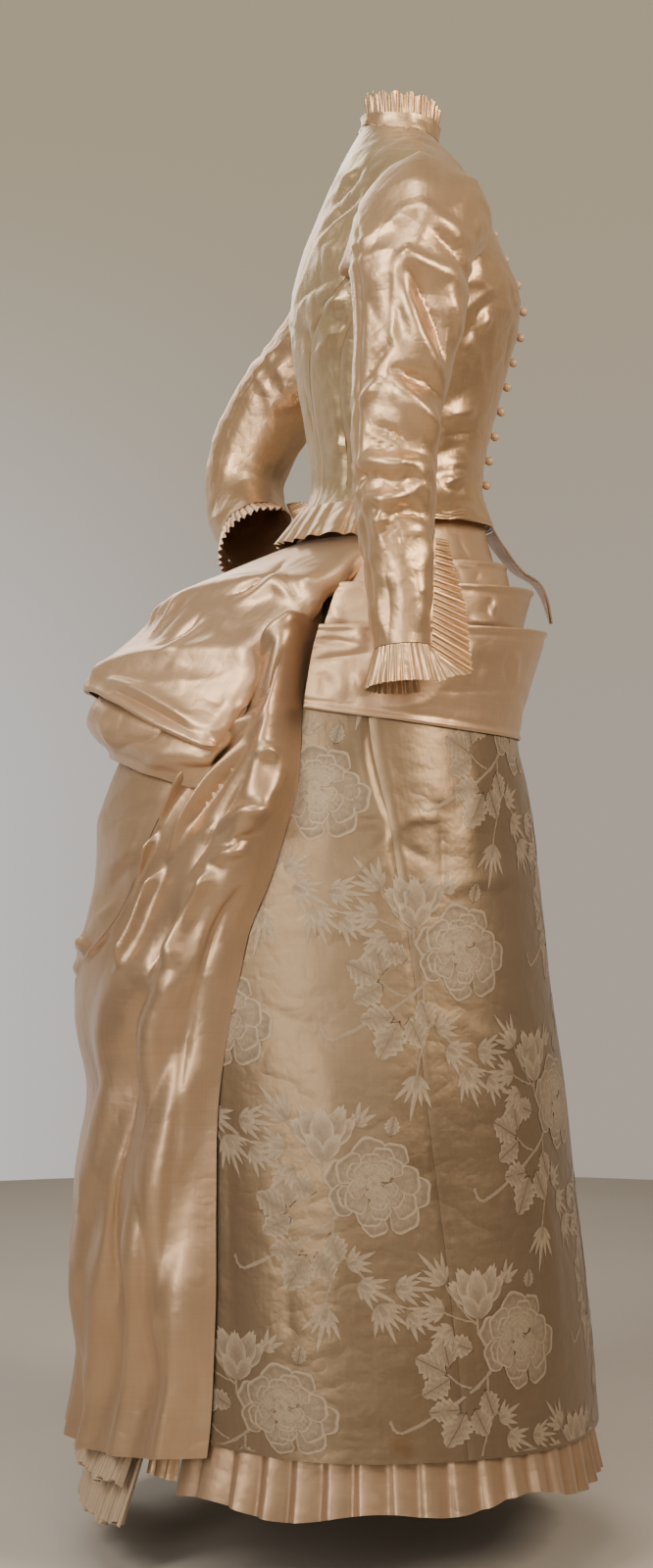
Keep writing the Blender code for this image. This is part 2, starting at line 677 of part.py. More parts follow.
def neck():
    """Standing collar band, and the pleated frill that rises inside it."""
    turns = [360.0 * c / COLLAR_COLUMNS for c in range(COLLAR_COLUMNS)]
    grid = np.array([[ring_point(COLLAR, row[0], a) for a in turns] for row in COLLAR])
    add_wall("collar_band", grid, tube_normals(grid), SATIN, True)
    count = FRILL_PLEATS * 4
    rows = []
    for row, depth in zip(FRILL, FRILL_DEPTH):
        line = []
        for i in range(count):
            point = ring_point(FRILL, row[0], 360.0 * i / count)
            middle = np.array((0.0, row[6], point[2]))
            away = (point - middle) / np.linalg.norm(point - middle)
            line.append(point + away * PLEAT_WAVE[i % 4] * depth)
        rows.append(line)
    grid = np.array(rows)
    add_wall("neck_frill", grid, tube_normals(grid), SATIN, True, RUFFLE_WALL)


def buttons():
    """Covered balls down the closed front, in a column just clear of the wall."""
    line = np.array([ring_point(BODICE, v, 0.0) for v in BODY_LEVELS + ARM_LEVELS + TOP_LEVELS])
    for i in range(BUTTON_COUNT):
        z = BUTTON_TOP - i * BUTTON_PITCH
        here = np.array((0.0, np.interp(z, line[:, 2], line[:, 1]), z))
        step = np.array((0.0, np.interp(z + 0.004, line[:, 2], line[:, 1]), z + 0.004)) - here
        normal = np.array((0.0, -step[2], step[1]))
        normal /= np.linalg.norm(normal)
        if normal[1] > 0:
            normal = -normal
        centre = here + normal * (BUTTON_RADIUS + SEAM)
        bpy.ops.mesh.primitive_ico_sphere_add(subdivisions=2, radius=BUTTON_RADIUS, location=centre)
        ball = bpy.context.object
        ball.name = "button_%02d" % (i + 1)
        ball.data.name = ball.name
        ball.data.materials.append(material_of(SATIN))


def skirt():
    """Brocade front and side gores, and the plain back over the bustle."""
    def gore(v):
        return column_curve(GORE, GORE_COLUMNS, v)["turn"]

    def rear(v):
        return SKIRT_REAR

    grid, normal = patch(SKIRT, SKIRT_LEVELS, lambda v: -gore(v), gore, GORE_POINTS["front"])
    add_wall("skirt_front", grid, normal, BROCADE)
    for side, sign in SIDES:
        grid, normal = patch(SKIRT, SKIRT_LEVELS, gore, rear, GORE_POINTS["side"], sign)
        add_wall(side_name("skirt_side", side), grid, normal, BROCADE)
    grid, normal = patch(SKIRT, SKIRT_LEVELS, rear, lambda v: 360.0 - rear(v), GORE_POINTS["back"])
    add_wall("skirt_back", grid, normal, SATIN)


def pleated(name, table, levels, angles, pleats, inset, depth, kind, flare=0.0, ragged=0.0):
    """A pleated strip on a ring surface, moved in by inset, its waves depth high."""
    start, stop = angles
    count = pleats * 4 + 1
    rows = []
    for k, v in enumerate(levels):
        share = k / (len(levels) - 1)
        line = []
        for i in range(count):
            a = start + (stop - start) * i / (pleats * 4)
            point = ring_point(table, v, a)
            centre = np.array((0.0, 0.05, point[2]))
            away = point - centre
            away[2] = 0.0
            away /= np.linalg.norm(away)
            wave = PLEAT_WAVE[i % 4]
            height = depth * (0.45 + 0.55 * share) * wave + flare * share
            drop = ragged * share * math.sin(i * 0.21) * math.cos(i * 0.083)
            line.append(point + away * (height - inset) + np.array((0.0, 0.0, drop)))
        rows.append(line)
    grid = np.array(rows)
    add_wall(name, grid, tube_normals(grid), kind, False, RUFFLE_WALL)


def hems():
    """The pleated front flounce, the plain back strips, the sheer dust ruffles and the fluted peplum."""
    for row in TRIMS:
        t = dict(zip(TRIM_COLUMNS, row))
        pleated(t["name"], SKIRT, (t["top"], t["foot"]), (t["start"], t["stop"]), t["pleats"],
                t["inset"], t["depth"], t["kind"], t["flare"], t["ragged"])
    top = column_curve(BODICE, RING_COLUMNS, PEPLUM_LEVEL)
    head = [0.0] + [top[name] for name in RING_COLUMNS[1:]]
    pleated("peplum_back", (tuple(head), PEPLUM_FOOT), (0.0, 1.0), PEPLUM_SPAN, PEPLUM_FLUTES,
            -(RUFFLE_WALL + REST), PEPLUM_DEPTH, SATIN)


def front_point():
    """The stiff pointed tab below the front closure."""
    grid = []
    for row in POINT:
        p = dict(zip(POINT_COLUMNS, row))
        line = []
        for c in range(5):
            x = p["half_width"] * (1 - c / 2)
            line.append((x, p["y"] + x * x * 3.0, p["z"]))
        grid.append(line)
    grid = np.array(grid)
    add_wall("front_point", grid, outward(grid), SATIN)


def hip():
    """Swathed strips round the front and sides: each rests on those above it and on the skirt."""
    above = (0.0, 0.0)
    for beneath, row in enumerate(HIP):
        h = dict(zip(HIP_COLUMNS, row))
        grid = []
        for k in range(HIP_ROWS):
            share = k / (HIP_ROWS - 1)
            line = []
            for c in range(HIP_POINTS):
                a = -HIP_END + 2 * HIP_END * c / (HIP_POINTS - 1)
                bend = (a / HIP_END) ** 2
                low = h["bottom_front"] + (h["bottom_back"] - h["bottom_front"]) * bend
                end = above[0] + (above[1] - above[0]) * bend
                v = h["top"] + (low - h["top"]) * share
                settle = min(1.0, max(0.0, (v - end) / (low - end)))
                stand = h["flare"] * (1 - share) ** 2 * (0.35 + 0.65 * math.cos(math.radians(a)) ** 2)
                lift = LAYER + HIP_EASE + (LAYER + HIP_EASE) * beneath * (1 - settle) + stand
                lift += HIP_SWELL * math.sin(math.pi * share)
                line.append(moved_out(SKIRT, v, a, lift))
            grid.append(line)
        above = (h["bottom_front"], h["bottom_back"])
        grid = np.array(grid)
        add_wall(h["name"], grid, outward(grid), SATIN)


def moved_out(table, v, degrees, lift):
    """A ring surface's point moved out level, away from the middle."""
    point = ring_point(table, v, degrees)
    away = point - np.array((0.0, 0.02, point[2]))
    return point + away / np.linalg.norm(away) * lift


def seated(point, degrees):
    """The same place brought in to rest on the skirt."""
    v = -point[2]
    for _ in range(4):
        v += ring_point(SKIRT, v, degrees)[2] - point[2]
    return moved_out(SKIRT, v, degrees, LAYER + 0.0001)


def bustle():
    """The back fall and side falls, the lower puff, and the flap over the shelf."""
    def edge(name):
        return lambda v: column_curve(FALL_EDGE, EDGE_COLUMNS, v)[name]

    def edges(table):
        return [lambda v, n=n: column_curve(table, EDGE_COLUMNS, v)[n] for n in ("front", "back")]

    side_levels = [row[0] for row in FALL_EDGE]
    grid, normal = patch(FALL, FALL_BACK_LEVELS, edge("back"), lambda v: 360.0 - edge("back")(v),
                         BUSTLE_POINTS["back"], gap=BACK_GAP)
    add_wall("fall_back", grid, normal, SATIN)
    for side, sign in SIDES:
        grid, normal = patch(FALL, side_levels, edge("front"), edge("back"), BUSTLE_POINTS["side"], sign)
        grid = raised(grid, normal, FALL_FOLDS)
        for r, v in enumerate(side_levels):
            flat = grid[r, 0] * np.array((sign, 1.0, 1.0))
            grid[r, 0] = seated(flat, edge("front")(v)) * np.array((sign, 1.0, 1.0))
        add_wall(side_name("fall", side), grid, normal, SATIN)
    left, right = edges(PUFF_EDGE)
    grid, normal = patch(PUFF, PUFF_LEVELS, left, right, BUSTLE_POINTS["puff"])
    add_wall("bustle_puff", grid, normal, SATIN)
    left, right = edges(FLAP_EDGE)
    grid, normal = patch(FLAP, FLAP_LEVELS, left, right, BUSTLE_POINTS["flap"])
    grid = raised(grid, normal, FLAP_FOLDS)
    width = grid.shape[1] - 1
    for c in range(width + 1):
        turn = left(0.0) + (right(0.0) - left(0.0)) * c / width
        grid[0, c] = seated(grid[0, c], turn)
    add_wall("bustle_flap", grid, normal, SATIN)


def main():
    bodice()
    sleeves()
    neck()
    buttons()
    skirt()
    hems()
    front_point()
    hip()
    bustle()


main()
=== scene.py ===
"""Looks of the bustle dress: thin cloth shells on the frame's solids, with trims and soft studio light."""

import math
import bpy
import numpy as np
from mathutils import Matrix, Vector


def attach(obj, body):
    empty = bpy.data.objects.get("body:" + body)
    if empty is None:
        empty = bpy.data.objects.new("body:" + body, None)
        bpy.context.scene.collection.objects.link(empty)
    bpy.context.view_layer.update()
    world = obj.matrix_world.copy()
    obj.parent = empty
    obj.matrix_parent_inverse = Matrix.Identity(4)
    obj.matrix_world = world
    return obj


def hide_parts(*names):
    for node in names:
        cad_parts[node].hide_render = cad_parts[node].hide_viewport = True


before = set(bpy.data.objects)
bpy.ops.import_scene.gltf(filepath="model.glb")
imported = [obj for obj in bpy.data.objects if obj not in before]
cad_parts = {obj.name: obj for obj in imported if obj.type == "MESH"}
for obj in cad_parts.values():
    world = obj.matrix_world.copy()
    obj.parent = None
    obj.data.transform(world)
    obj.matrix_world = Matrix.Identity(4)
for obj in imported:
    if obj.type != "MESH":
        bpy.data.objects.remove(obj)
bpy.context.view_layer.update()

# Lengths in metres. Front is -Y, the wearer's right is -X, z = 0 is the waist.
SEAM = 0.0003
LAYER = 0.0022
CLOTH = 0.0006
SIDES = (("right", 1), ("left", -1))
# Middling radii that turn a seam's gap into degrees, and the degrees in a radian.
BODY_RADIUS = 0.11
SKIRT_RADIUS = 0.2
DEGREES = 57.3
BACK_GAP = 0.0014

# Where the camera stands: turn about the vertical in degrees, its target and distance.
VIEW_TURN = -96.0
VIEW_TARGET = (0.0, 0.073, -0.305)
VIEW_DISTANCE = 2.6
LENS = 58.5
SENSOR = 36.0
FLOOR = -1.062
STAIN = (-0.27, 0.036, -0.911)
LAMPS = (
    # name, place, aim, size, power, colour
    ("window", (-1.35, 1.50, 0.95), (0.0, 0.1, 0.05), (0.5, 1.2), 38.0, (1.0, 0.92, 0.81)),
    ("lamp", (-1.55, -1.35, 0.80), (0.0, 0.0, 0.02), (0.45, 1.2), 46.0, (1.0, 0.84, 0.66)),
    ("top", (-0.80, 0.25, 1.35), (0.0, 0.1, 0.0), (0.5, 0.5), 7.0, (1.0, 0.94, 0.86)),
    ("side", (-2.1, 1.35, -0.05), (0.0, 0.2, -0.25), (0.6, 0.9), 17.0, (1.0, 0.91, 0.80)),
    ("near", (-3.1, 0.15, 0.28), (0.0, 0.05, -0.05), (1.4, 1.1), 8.0, (1.0, 0.90, 0.80)),
    ("far", (1.9, 0.6, 1.1), (0.0, 0.05, 0.0), (1.4, 1.4), 26.0, (1.0, 0.95, 0.9)),
)
ROSE_START = (0.080, 0.466)
ROSE_STEP_A = (0.147, 0.152)
ROSE_STEP_B = (-0.090, 0.214)

BODICE_CREASES = {
    "front": (
        (67.3, 48.9, 71.4, 44.3, 77.6, 39.7, 7, -3, 0),
        (71.4, 42, 65.3, 44.3, 61.2, 46.6, 7, 3, 0),
        (100, 61.1, 81.6, 55, 55.1, 48.9, 7, 2, 0),
        (83.7, 27.5, 71.4, 29.8, 53.1, 30.5, 9, 3, 0),
        (81.6, 26, 65.3, 26, 51, 27.5, 7, -2.5, 0),
        (36.7, 45.8, 30.6, 41.2, 26.5, 36.6, 4, -2, 0),
        (79.6, 17.6, 67.3, 19.8, 42.9, 19.8, 7, 2.5, 0),
        (81.6, 15.3, 71.4, 16.8, 51, 18.3, 8, 2.8, 0),
        (83.7, 8.4, 71.4, 12.2, 57.1, 14.5, 7, -3, 0),
        (83.7, 5.3, 69.4, 9.2, 46.9, 9.9, 6, 2.5, 0),
        (85.7, 0.8, 71.4, 6.1, 53.1, 6.9, 5, -2.4, 0),
        (79.6, 0, 69.4, 2.3, 44.9, 4.6, 4, 2, 0),
    ),
    "side_back": (
        (78.3, 71.2, 52.2, 74, 26.1, 75.3, 6, 2.5, 0),
        (100, 87.7, 78.3, 90.4, 43.5, 90.4, 5, 2.4, 0),
        (87, 79.5, 39.1, 78.1, 4.3, 79.5, 5, 2.4, 0),
        (47.8, 68.5, 21.7, 64.4, 8.7, 58.9, 5, -1.8, 0),
        (69.6, 13.7, 21.7, 13.7, 0, 19.2, 5, -2.2, 0),
        (56.5, 39.7, 17.4, 42.5, 0, 39.7, 6, 2, 0),
    ),
    "back": (
        (66.7, 70.2, 48.7, 74.8, 46.2, 80.2, 8, -4.5, 0),
        (66.7, 75.6, 59, 77.1, 51.3, 78.6, 7, 3, 0),
        (64.1, 64.9, 38.5, 69.5, 20.5, 71.8, 8, -4.5, 0),
        (66.7, 62.6, 46.2, 64.1, 28.2, 69.5, 6, 2.5, 0),
        (71.8, 50.4, 43.6, 53.4, 5.1, 53.4, 9, -3.5, 0),
        (64.1, 45.8, 23.1, 43.5, 0, 39.7, 8, -3, 0),
        (56.4, 61.8, 33.3, 61.1, 20.5, 59.5, 9, 2, 0),
        (20.5, 48.1, 2.6, 48.1, 0, 48.9, 5, -2, 0),
        (35.9, 35.9, 33.3, 30.5, 12.8, 25.2, 5, -2, 0),
    ),
}
SLEEVE_CREASES = {
    "right": (
        (43.8, 31.8, 50.7, 34.1, 71.5, 36.4, 8, 4.5, 1),
        (45.1, 34.1, 52.1, 40.9, 63.2, 52.3, 13, -7, 0),
        (48.6, 25, 53.5, 26.5, 66.7, 31.8, 9, 2.5, 0),
        (50.7, 27.3, 57.6, 31.1, 71.5, 35.6, 8, -3, 0),
        (41.7, 26.5, 38.9, 28, 31.2, 28.8, 10, -1.5, 0),
        (43.1, 31.8, 41.7, 40.9, 43.1, 50, 4, 0.9, 2),
        (43.8, 32.6, 48.6, 44.7, 66.7, 56.8, 9, 4, 0),
        (56.9, 36.4, 60.4, 41.7, 68.1, 47, 7, 2, 0),
        (31.2, 35.6, 34.7, 41.7, 42.4, 47.7, 14, -1.5, 0),
        (41, 55.3, 54.9, 61.4, 66, 67.4, 12, 6, 0),
        (41.7, 53.8, 50, 54.5, 68.8, 57.6, 8, -6, 0),
        (31.2, 58.3, 36.8, 52.3, 43.1, 48.5, 9, -4, 0),
        (31.2, 60.6, 37.5, 57.6, 40.3, 55.3, 7, 3, 0),
        (35.4, 64.4, 45.1, 65.9, 55.6, 68.2, 8, -5, 0),
        (27.8, 71.2, 44.4, 71.2, 64.6, 72, 10, 5, 0),
        (34, 65.9, 44.4, 68.9, 59.7, 68.9, 8, -5, 0),
        (25.7, 72.7, 39.6, 73.5, 46.5, 76.5, 7, -6, 1),
        (49.3, 74.2, 54.9, 74.2, 60.4, 75.8, 6, -3, 0),
        (31.2, 76.5, 41.7, 78, 51.4, 77.3, 9, 5.5, 0),
        (52.8, 72.7, 56.9, 75, 61.1, 78, 5, 3, 0),
        (41, 81.1, 50.7, 79.5, 62.5, 81.8, 8, -7, 0),
        (33.3, 78, 38.2, 78.8, 38.2, 81.8, 5, -4, 0),
        (36.1, 78.8, 38.9, 81.1, 34.7, 82.6, 8, 6, 0),
        (38.2, 83.3, 43.1, 82.6, 54.9, 81.8, 12, -3, 0),
        (46.5, 83.3, 47.2, 84.1, 49.3, 85.6, 4, -2, 0),
        (39.6, 88.6, 48.6, 88.6, 54.9, 87.9, 6, 1.6, 0),
        (61.1, 83.3, 56.9, 91.7, 56.2, 99.2, 11, 2.2, 0),
        (38.9, 88.6, 39.6, 93.9, 37.5, 100, 9, -1.6, 0),
    ),
    "left": (
        (86.1, 68.2, 96.5, 59.1, 94.4, 46.2, 9, 4, 0),
        (84.7, 64.4, 86.8, 56.1, 93.8, 48.5, 8, -4, 0),
        (74.3, 52.3, 84.7, 49.2, 85.4, 44.7, 7, 3, 0),
        (84, 71.2, 91.7, 75.8, 88.2, 89.4, 10, 3, 0),
        (95.8, 72, 94.4, 78, 93.1, 87.9, 8, -3, 0),
        (4.2, 64.4, 2.8, 72.7, 0.7, 80.3, 7, 3, 0),
    ),
}
HIP_CREASES = {
    "hip_fold_upper": (
        (76.2, 28.2, 73.5, 46.2, 73, 64.1, 9, -2.4, 0),
    ),
    "hip_fold_middle": (
        (71.4, 17.9, 72.5, 28.6, 74.1, 46.4, 5, -2.6, 0),
        (78.8, 17.9, 79.4, 28.6, 78.8, 46.4, 5, 2, 0),
    ),
    "hip_fold_lower": (
        (100, 31, 98.9, 48.3, 97.4, 69, 5, 2, 0),
        (70.4, 20.7, 70.9, 31, 71.4, 48.3, 4, 3, 0),
        (72.5, 20.7, 72.5, 34.5, 72.5, 51.7, 4, -3, 0),
        (76.7, 51.7, 73.5, 55.2, 69.3, 48.3, 5, 3, 0),
    ),
    "hip_band": (
        (100, 18.8, 97.4, 18.8, 94.2, 25, 5, -4, 0),
        (100, 43.8, 96.3, 37.5, 92.6, 31.2, 5, -3.5, 0),
        (95.8, 2.1, 94.7, 12.5, 94.2, 27.1, 5, 2.5, 0),
        (94.2, 50, 93.7, 64.6, 93.1, 79.2, 5, 3, 0),
        (98.4, 52.1, 97.9, 66.7, 97.9, 85.4, 10, -2.4, 0),
        (95.8, 50, 95.8, 68.8, 95.2, 85.4, 6, 1.6, 0),
        (66.7, 20.8, 66.7, 35.4, 64.6, 52.1, 6, 3.2, 0),
        (68.8, 20.8, 69.3, 35.4, 67.7, 52.1, 6, -2.2, 0),
        (77.2, 14.6, 77.8, 35.4, 77.8, 56.2, 6, 3, 0),
        (74.6, 16.7, 75.1, 35.4, 75.1, 56.2, 10, -1.8, 0),
        (83.6, 66.7, 73, 60.4, 56.1, 50, 3, -0.9, 2),
    ),
}
FALL_CREASES = (
    (100, 58.3, 96.8, 56.3, 94.7, 53.8, 6, -4, 0),
    (31.6, 22.6, 88.4, 31.2, 94.7, 39.7, 5, 6, 2),
    (94.7, 39.7, 100, 46.2, 100, 52.8, 5, 6, 1),
    (12.6, 23.6, 49.5, 32.7, 60, 39.2, 8, -5, 0),
    (40, 27.6, 63.2, 35.2, 71.6, 43.7, 6, 6, 0),
    (71.6, 43.7, 69.5, 51.3, 46.3, 59.8, 6, 6, 2),
    (17.9, 29.6, 31.6, 37.2, 41.1, 45.7, 9, -4, 0),
    (2.1, 28.6, 7.4, 36.7, 21.1, 43.7, 10, 4, 0),
    (21.1, 43.7, 27.4, 50.8, 15.8, 59.3, 10, 5, 2),
    (28.4, 45.2, 33.7, 53.8, 25.3, 60.3, 10, -5, 0),
    (4.2, 46.2, 5.3, 52.8, 5.3, 59.3, 7, -4, 0),
    (20, 37.2, 9.5, 36.7, 3.2, 37.2, 6, 3, 0),
    (44.2, 40.2, 25.3, 38.2, 7.4, 36.7, 7, 3, 0),
    (25.3, 42.7, 12.6, 40.7, 4.2, 39.7, 6, -3, 0),
    (15.8, 30.7, 7.4, 29.6, 3.2, 32.7, 6, 3, 0),
    (31.6, 43.7, 14.7, 42.2, 5.3, 42.2, 6, 2.4, 0),
    (16.8, 11.6, 22.1, 18.6, 68.4, 22.1, 12, -3, 0),
    (17.9, 3, 70.5, 9, 94.7, 14.6, 5, 4, 0),
    (48.4, 53.8, 46.3, 70.9, 54.7, 82.4, 27, 5, 2),
    (54.7, 82.4, 68.7, 89.4, 62.1, 97, 26, 4, 2),
    (20, 57.3, 32.6, 74.9, 42.3, 90.4, 22, -5.5, 2),
    (13.7, 51.8, 20, 73.4, 27.4, 87.9, 20, 5, 2),
    (5.3, 49.2, 6.3, 71.4, 11.6, 84.9, 14, -3.6, 0),
    (5.3, 68.8, 9.5, 79.4, 16.8, 93, 15, 3.2, 2),
    (26.3, 76.9, 16.8, 82.4, 26.3, 89.9, 9, -2, 0),
)
BACK_CREASES = (
    (34.8, 47.8, 11.6, 42, 0, 34.8, 10, 3, 0),
    (43.5, 36.2, 15.9, 27.5, 1.4, 23.2, 9, -3, 0),
    (39.1, 56.5, 18.8, 52.2, 5.8, 43.5, 9, -2.6, 0),
    (31.9, 65.2, 14.5, 62.3, 2.9, 55.1, 8, 2.6, 0),
    (46.4, 72.5, 24.6, 75.4, 1.4, 76.8, 6, 5, 0),
    (44.9, 84.1, 20.3, 85.5, 0, 81.2, 6, 3, 0),
)
PUFF_CREASES = (
    (7.4, 34.2, 11.4, 63.3, 34.2, 92.4, 10, -4.5, 0),
    (36.2, 45.6, 27.5, 65.8, 28.9, 84.8, 9, 3, 0),
    (0, 40.5, 4, 75.9, 22.8, 100, 9, 3, 0),
    (26.2, 31.6, 21.5, 46.8, 20.8, 73.4, 7, -2, 0),
)
FLAP_CREASES = (
    (27.2, 56, 24.3, 45, 23.1, 37.6, 7, -6, 0),
    (23.1, 57.8, 20.1, 46.8, 20.1, 39.4, 7, 3.5, 0),
    (29.6, 58.7, 36.7, 42.2, 31.4, 32.1, 4, 1.8, 0),
    (28.4, 56, 32, 43.1, 27.8, 31.2, 4, -1.8, 0),
    (34.3, 58.7, 43.2, 42.2, 34.3, 33, 4, -1.5, 0),
    (21.3, 31.2, 16, 22.9, 20.7, 9.2, 6, -6, 0),
    (17.2, 33, 12.4, 26.6, 11.8, 17.4, 8, 4, 0),
    (13.6, 21.1, 6.5, 23.9, 0, 27.5, 8, 4, 0),
    (13, 16.5, 4.7, 22.9, 0, 26.6, 6, -4, 0),
    (8.3, 38.5, 1.8, 45, 0, 55, 10, 2.2, 0),
    (5.9, 36.7, 0, 41.3, 0, 48.6, 9, -2, 0),
    (18.3, 56, 14.8, 57.8, 9.5, 60.6, 8, 1.8, 0),
    (21.3, 38.5, 12.4, 38.5, 4.1, 44, 8, 2, 0),
    (6.5, 60.6, 1.8, 61.5, 0, 60.6, 9, -1.8, 0),
    (35.5, 78.9, 18.3, 71.6, 0, 76.1, 6, 4, 2),
    (29.6, 80.7, 14.8, 78, 0, 81.7, 4, -3, 2),
)
SKIRT_CREASES = (
    (96.9, 252, 93.4, 304, 88.9, 342, 2.2, -1.8, 2),
    (98.7, 252, 95.1, 304, 90.7, 342, 5, 1.2, 0),
    (88.9, 351, 80.1, 337, 68.6, 342, 4, 1.6, 0),
    (88.9, 351, 81, 370, 72.1, 380, 4, -1.8, 0),
    (88.9, 351, 93.4, 370, 97.8, 399, 5, 1.8, 0),
    (88.9, 347, 95.1, 342, 102.2, 351, 4, -1.6, 0),
    (88.1, 351, 86.3, 385, 84.5, 423, 5, -1.8, 0),
    (88.9, 351, 91.6, 385, 91.6, 423, 5, 1.6, 0),
    (72.1, 318, 71.2, 370, 72.1, 437, 12, -2.4, 0),
    (54.4, 275, 59.7, 342, 62.4, 399, 13, 2.2, 0),
    (104, 266, 103.1, 323, 104.9, 380, 12, 2, 0),
    (113.7, 446, 104, 437, 91.6, 446, 8, 1.4, 0),
    (78.3, 408, 61.5, 399, 29.6, 394, 8, 1.3, 0),
    (122.6, 499, 110.2, 527, 96.9, 532, 10, -1.4, 0),
    (67.7, 527, 52.7, 551, 30.5, 546, 9, 1.4, 0),
    (104, 541, 101.3, 670, 101.3, 850, 22, 3, 0),
    (78.3, 598, 73.9, 727, 72.1, 874, 20, -2.8, 0),
    (42.9, 570, 41.2, 731, 42, 898, 20, 2.6, 0),
    (126.1, 584, 126.1, 722, 124.3, 902, 16, -2.6, 0),
    (112.8, 698, 111.9, 798, 111.1, 912, 18, -2.2, 0),
)


# Bodice rings from the hem up to the neck. Column v counts along the body.
BODICE = (
    (0.00, -0.046, -0.046, -0.046, -0.097, 0.106, 0.002, 0.131),
    (1.00, -0.005, -0.005, -0.005, -0.087, 0.088, 0.000, 0.104),
    (1.50, 0.020, 0.020, 0.020, -0.089, 0.088, 0.000, 0.103),
    (2.50, 0.065, 0.065, 0.065, -0.099, 0.096, 0.000, 0.112),
    (3.50, 0.125, 0.125, 0.125, -0.114, 0.106, 0.000, 0.127),
    (4.30, 0.162, 0.162, 0.162, -0.124, 0.110, 0.000, 0.136),
    (5.00, 0.190, 0.190, 0.190, -0.125, 0.108, 0.000, 0.140),
    (6.00, 0.232, 0.230, 0.232, -0.107, 0.098, 0.000, 0.141),
    (7.00, 0.272, 0.268, 0.280, -0.088, 0.079, -0.002, 0.140),
    (8.00, 0.303, 0.299, 0.316, -0.072, 0.063, -0.004, 0.133),
    (9.00, 0.326, 0.328, 0.343, -0.058, 0.049, -0.004, 0.094),
    (10.0, 0.343, 0.354, 0.365, -0.044, 0.036, -0.004, 0.050),
)
UNDERARM = 5.0
SHOULDER = 8.0

# Bodice seams as angles from the front, in degrees, by v.
SEAM_COLUMNS = ("v", "front", "side", "back")
SEAMS = (
    (0.00, 84.0, 134.0, 162.0),
    (1.50, 84.0, 134.0, 162.0),
    (3.50, 83.0, 130.0, 155.0),
    (4.30, 81.0, 118.0, 142.0),
    (5.00, 76.0, 103.0, 128.0),
)
ARMHOLE_COLUMNS = ("v", "front", "back")
ARMHOLE = (
    (5.00, 76.0, 128.0),
    (5.50, 61.0, 125.0),
    (6.00, 54.0, 121.0),
    (7.00, 56.0, 115.0),
    (7.60, 67.0, 106.0),
    (8.00, 90.0, 90.0),
)

# Skirt rings over the bustle, from the waist down. Column v is the drop below the waist.
SKIRT = (
    (0.000, 0.000, 0.000, 0.000, -0.0843, 0.0849, 0.000, 0.1003),
    (0.060, -0.060, -0.060, -0.060, -0.087, 0.100, 0.003, 0.115),
    (0.120, -0.120, -0.120, -0.120, -0.107, 0.160, 0.012, 0.143),
    (0.200, -0.200, -0.200, -0.200, -0.118, 0.215, 0.022, 0.162),
    (0.262, -0.262, -0.262, -0.262, -0.121, 0.240, 0.028, 0.174),
    (0.305, -0.305, -0.305, -0.305, -0.131, 0.250, 0.032, 0.181),
    (0.405, -0.405, -0.405, -0.405, -0.143, 0.268, 0.038, 0.198),
    (0.505, -0.505, -0.505, -0.505, -0.153, 0.280, 0.040, 0.214),
    (0.605, -0.605, -0.605, -0.605, -0.167, 0.285, 0.040, 0.230),
    (0.705, -0.705, -0.705, -0.703, -0.178, 0.288, 0.040, 0.246),
    (0.805, -0.805, -0.800, -0.798, -0.188, 0.290, 0.040, 0.262),
    (0.945, -0.945, -0.925, -0.915, -0.202, 0.292, 0.040, 0.284),
    (1.060, -1.010, -0.988, -1.024, -0.212, 0.310, 0.040, 0.298),
)
HEM = 0.945

# Bustle flap rings: from the waist out over the shelf to the rolled edge.
FLAP = (
    (0.00, -0.061, -0.061, -0.061, -0.10, 0.110, 0.005, 0.125),
    (0.25, -0.060, -0.108, -0.091, -0.10, 0.178, 0.020, 0.163),
    (0.50, -0.060, -0.160, -0.112, -0.10, 0.222, 0.035, 0.183),
    (0.75, -0.060, -0.222, -0.152, -0.10, 0.264, 0.050, 0.200),
    (0.92, -0.060, -0.272, -0.183, -0.10, 0.301, 0.058, 0.213),
    (1.00, -0.060, -0.294, -0.200, -0.10, 0.317, 0.062, 0.217),
    (1.06, -0.060, -0.303, -0.209, -0.10, 0.315, 0.062, 0.215),
)
# Lower puff rings, from under the flap to its turned bottom edge.
PUFF = (
    (0.00, -0.10, -0.200, -0.168, -0.10, 0.258, 0.040, 0.182),
    (0.30, -0.10, -0.250, -0.203, -0.10, 0.290, 0.050, 0.194),
    (0.60, -0.10, -0.292, -0.232, -0.10, 0.314, 0.056, 0.206),
    (0.85, -0.10, -0.322, -0.256, -0.10, 0.311, 0.056, 0.207),
    (1.00, -0.10, -0.340, -0.281, -0.10, 0.2882, 0.050, 0.1980),
)
# Back and side fall rings, from the hip and from under the puff to the back hem.
FALL = (
    (0.120, -0.12, -0.120, -0.120, -0.11, 0.180, 0.018, 0.150),
    (0.160, -0.16, -0.160, -0.160, -0.12, 0.205, 0.022, 0.162),
    (0.200, -0.20, -0.200, -0.205, -0.12, 0.230, 0.026, 0.171),
    (0.285, -0.30, -0.290, -0.283, -0.14, 0.285, 0.040, 0.189),
    (0.335, -0.34, -0.345, -0.335, -0.14, 0.305, 0.042, 0.198),
    (0.405, -0.40, -0.410, -0.405, -0.14, 0.308, 0.045, 0.209),
    (0.465, -0.46, -0.470, -0.465, -0.15, 0.324, 0.045, 0.219),
    (0.545, -0.54, -0.548, -0.545, -0.16, 0.328, 0.045, 0.231),
    (0.611, -0.61, -0.612, -0.611, -0.17, 0.316, 0.045, 0.240),
    (0.700, -0.70, -0.698, -0.700, -0.18, 0.329, 0.045, 0.254),
    (0.806, -0.80, -0.798, -0.806, -0.18, 0.328, 0.045, 0.270),
    (0.867, -0.86, -0.852, -0.867, -0.19, 0.318, 0.045, 0.279),
    (0.959, -0.94, -0.915, -0.955, -0.20, 0.330, 0.045, 0.293),
)
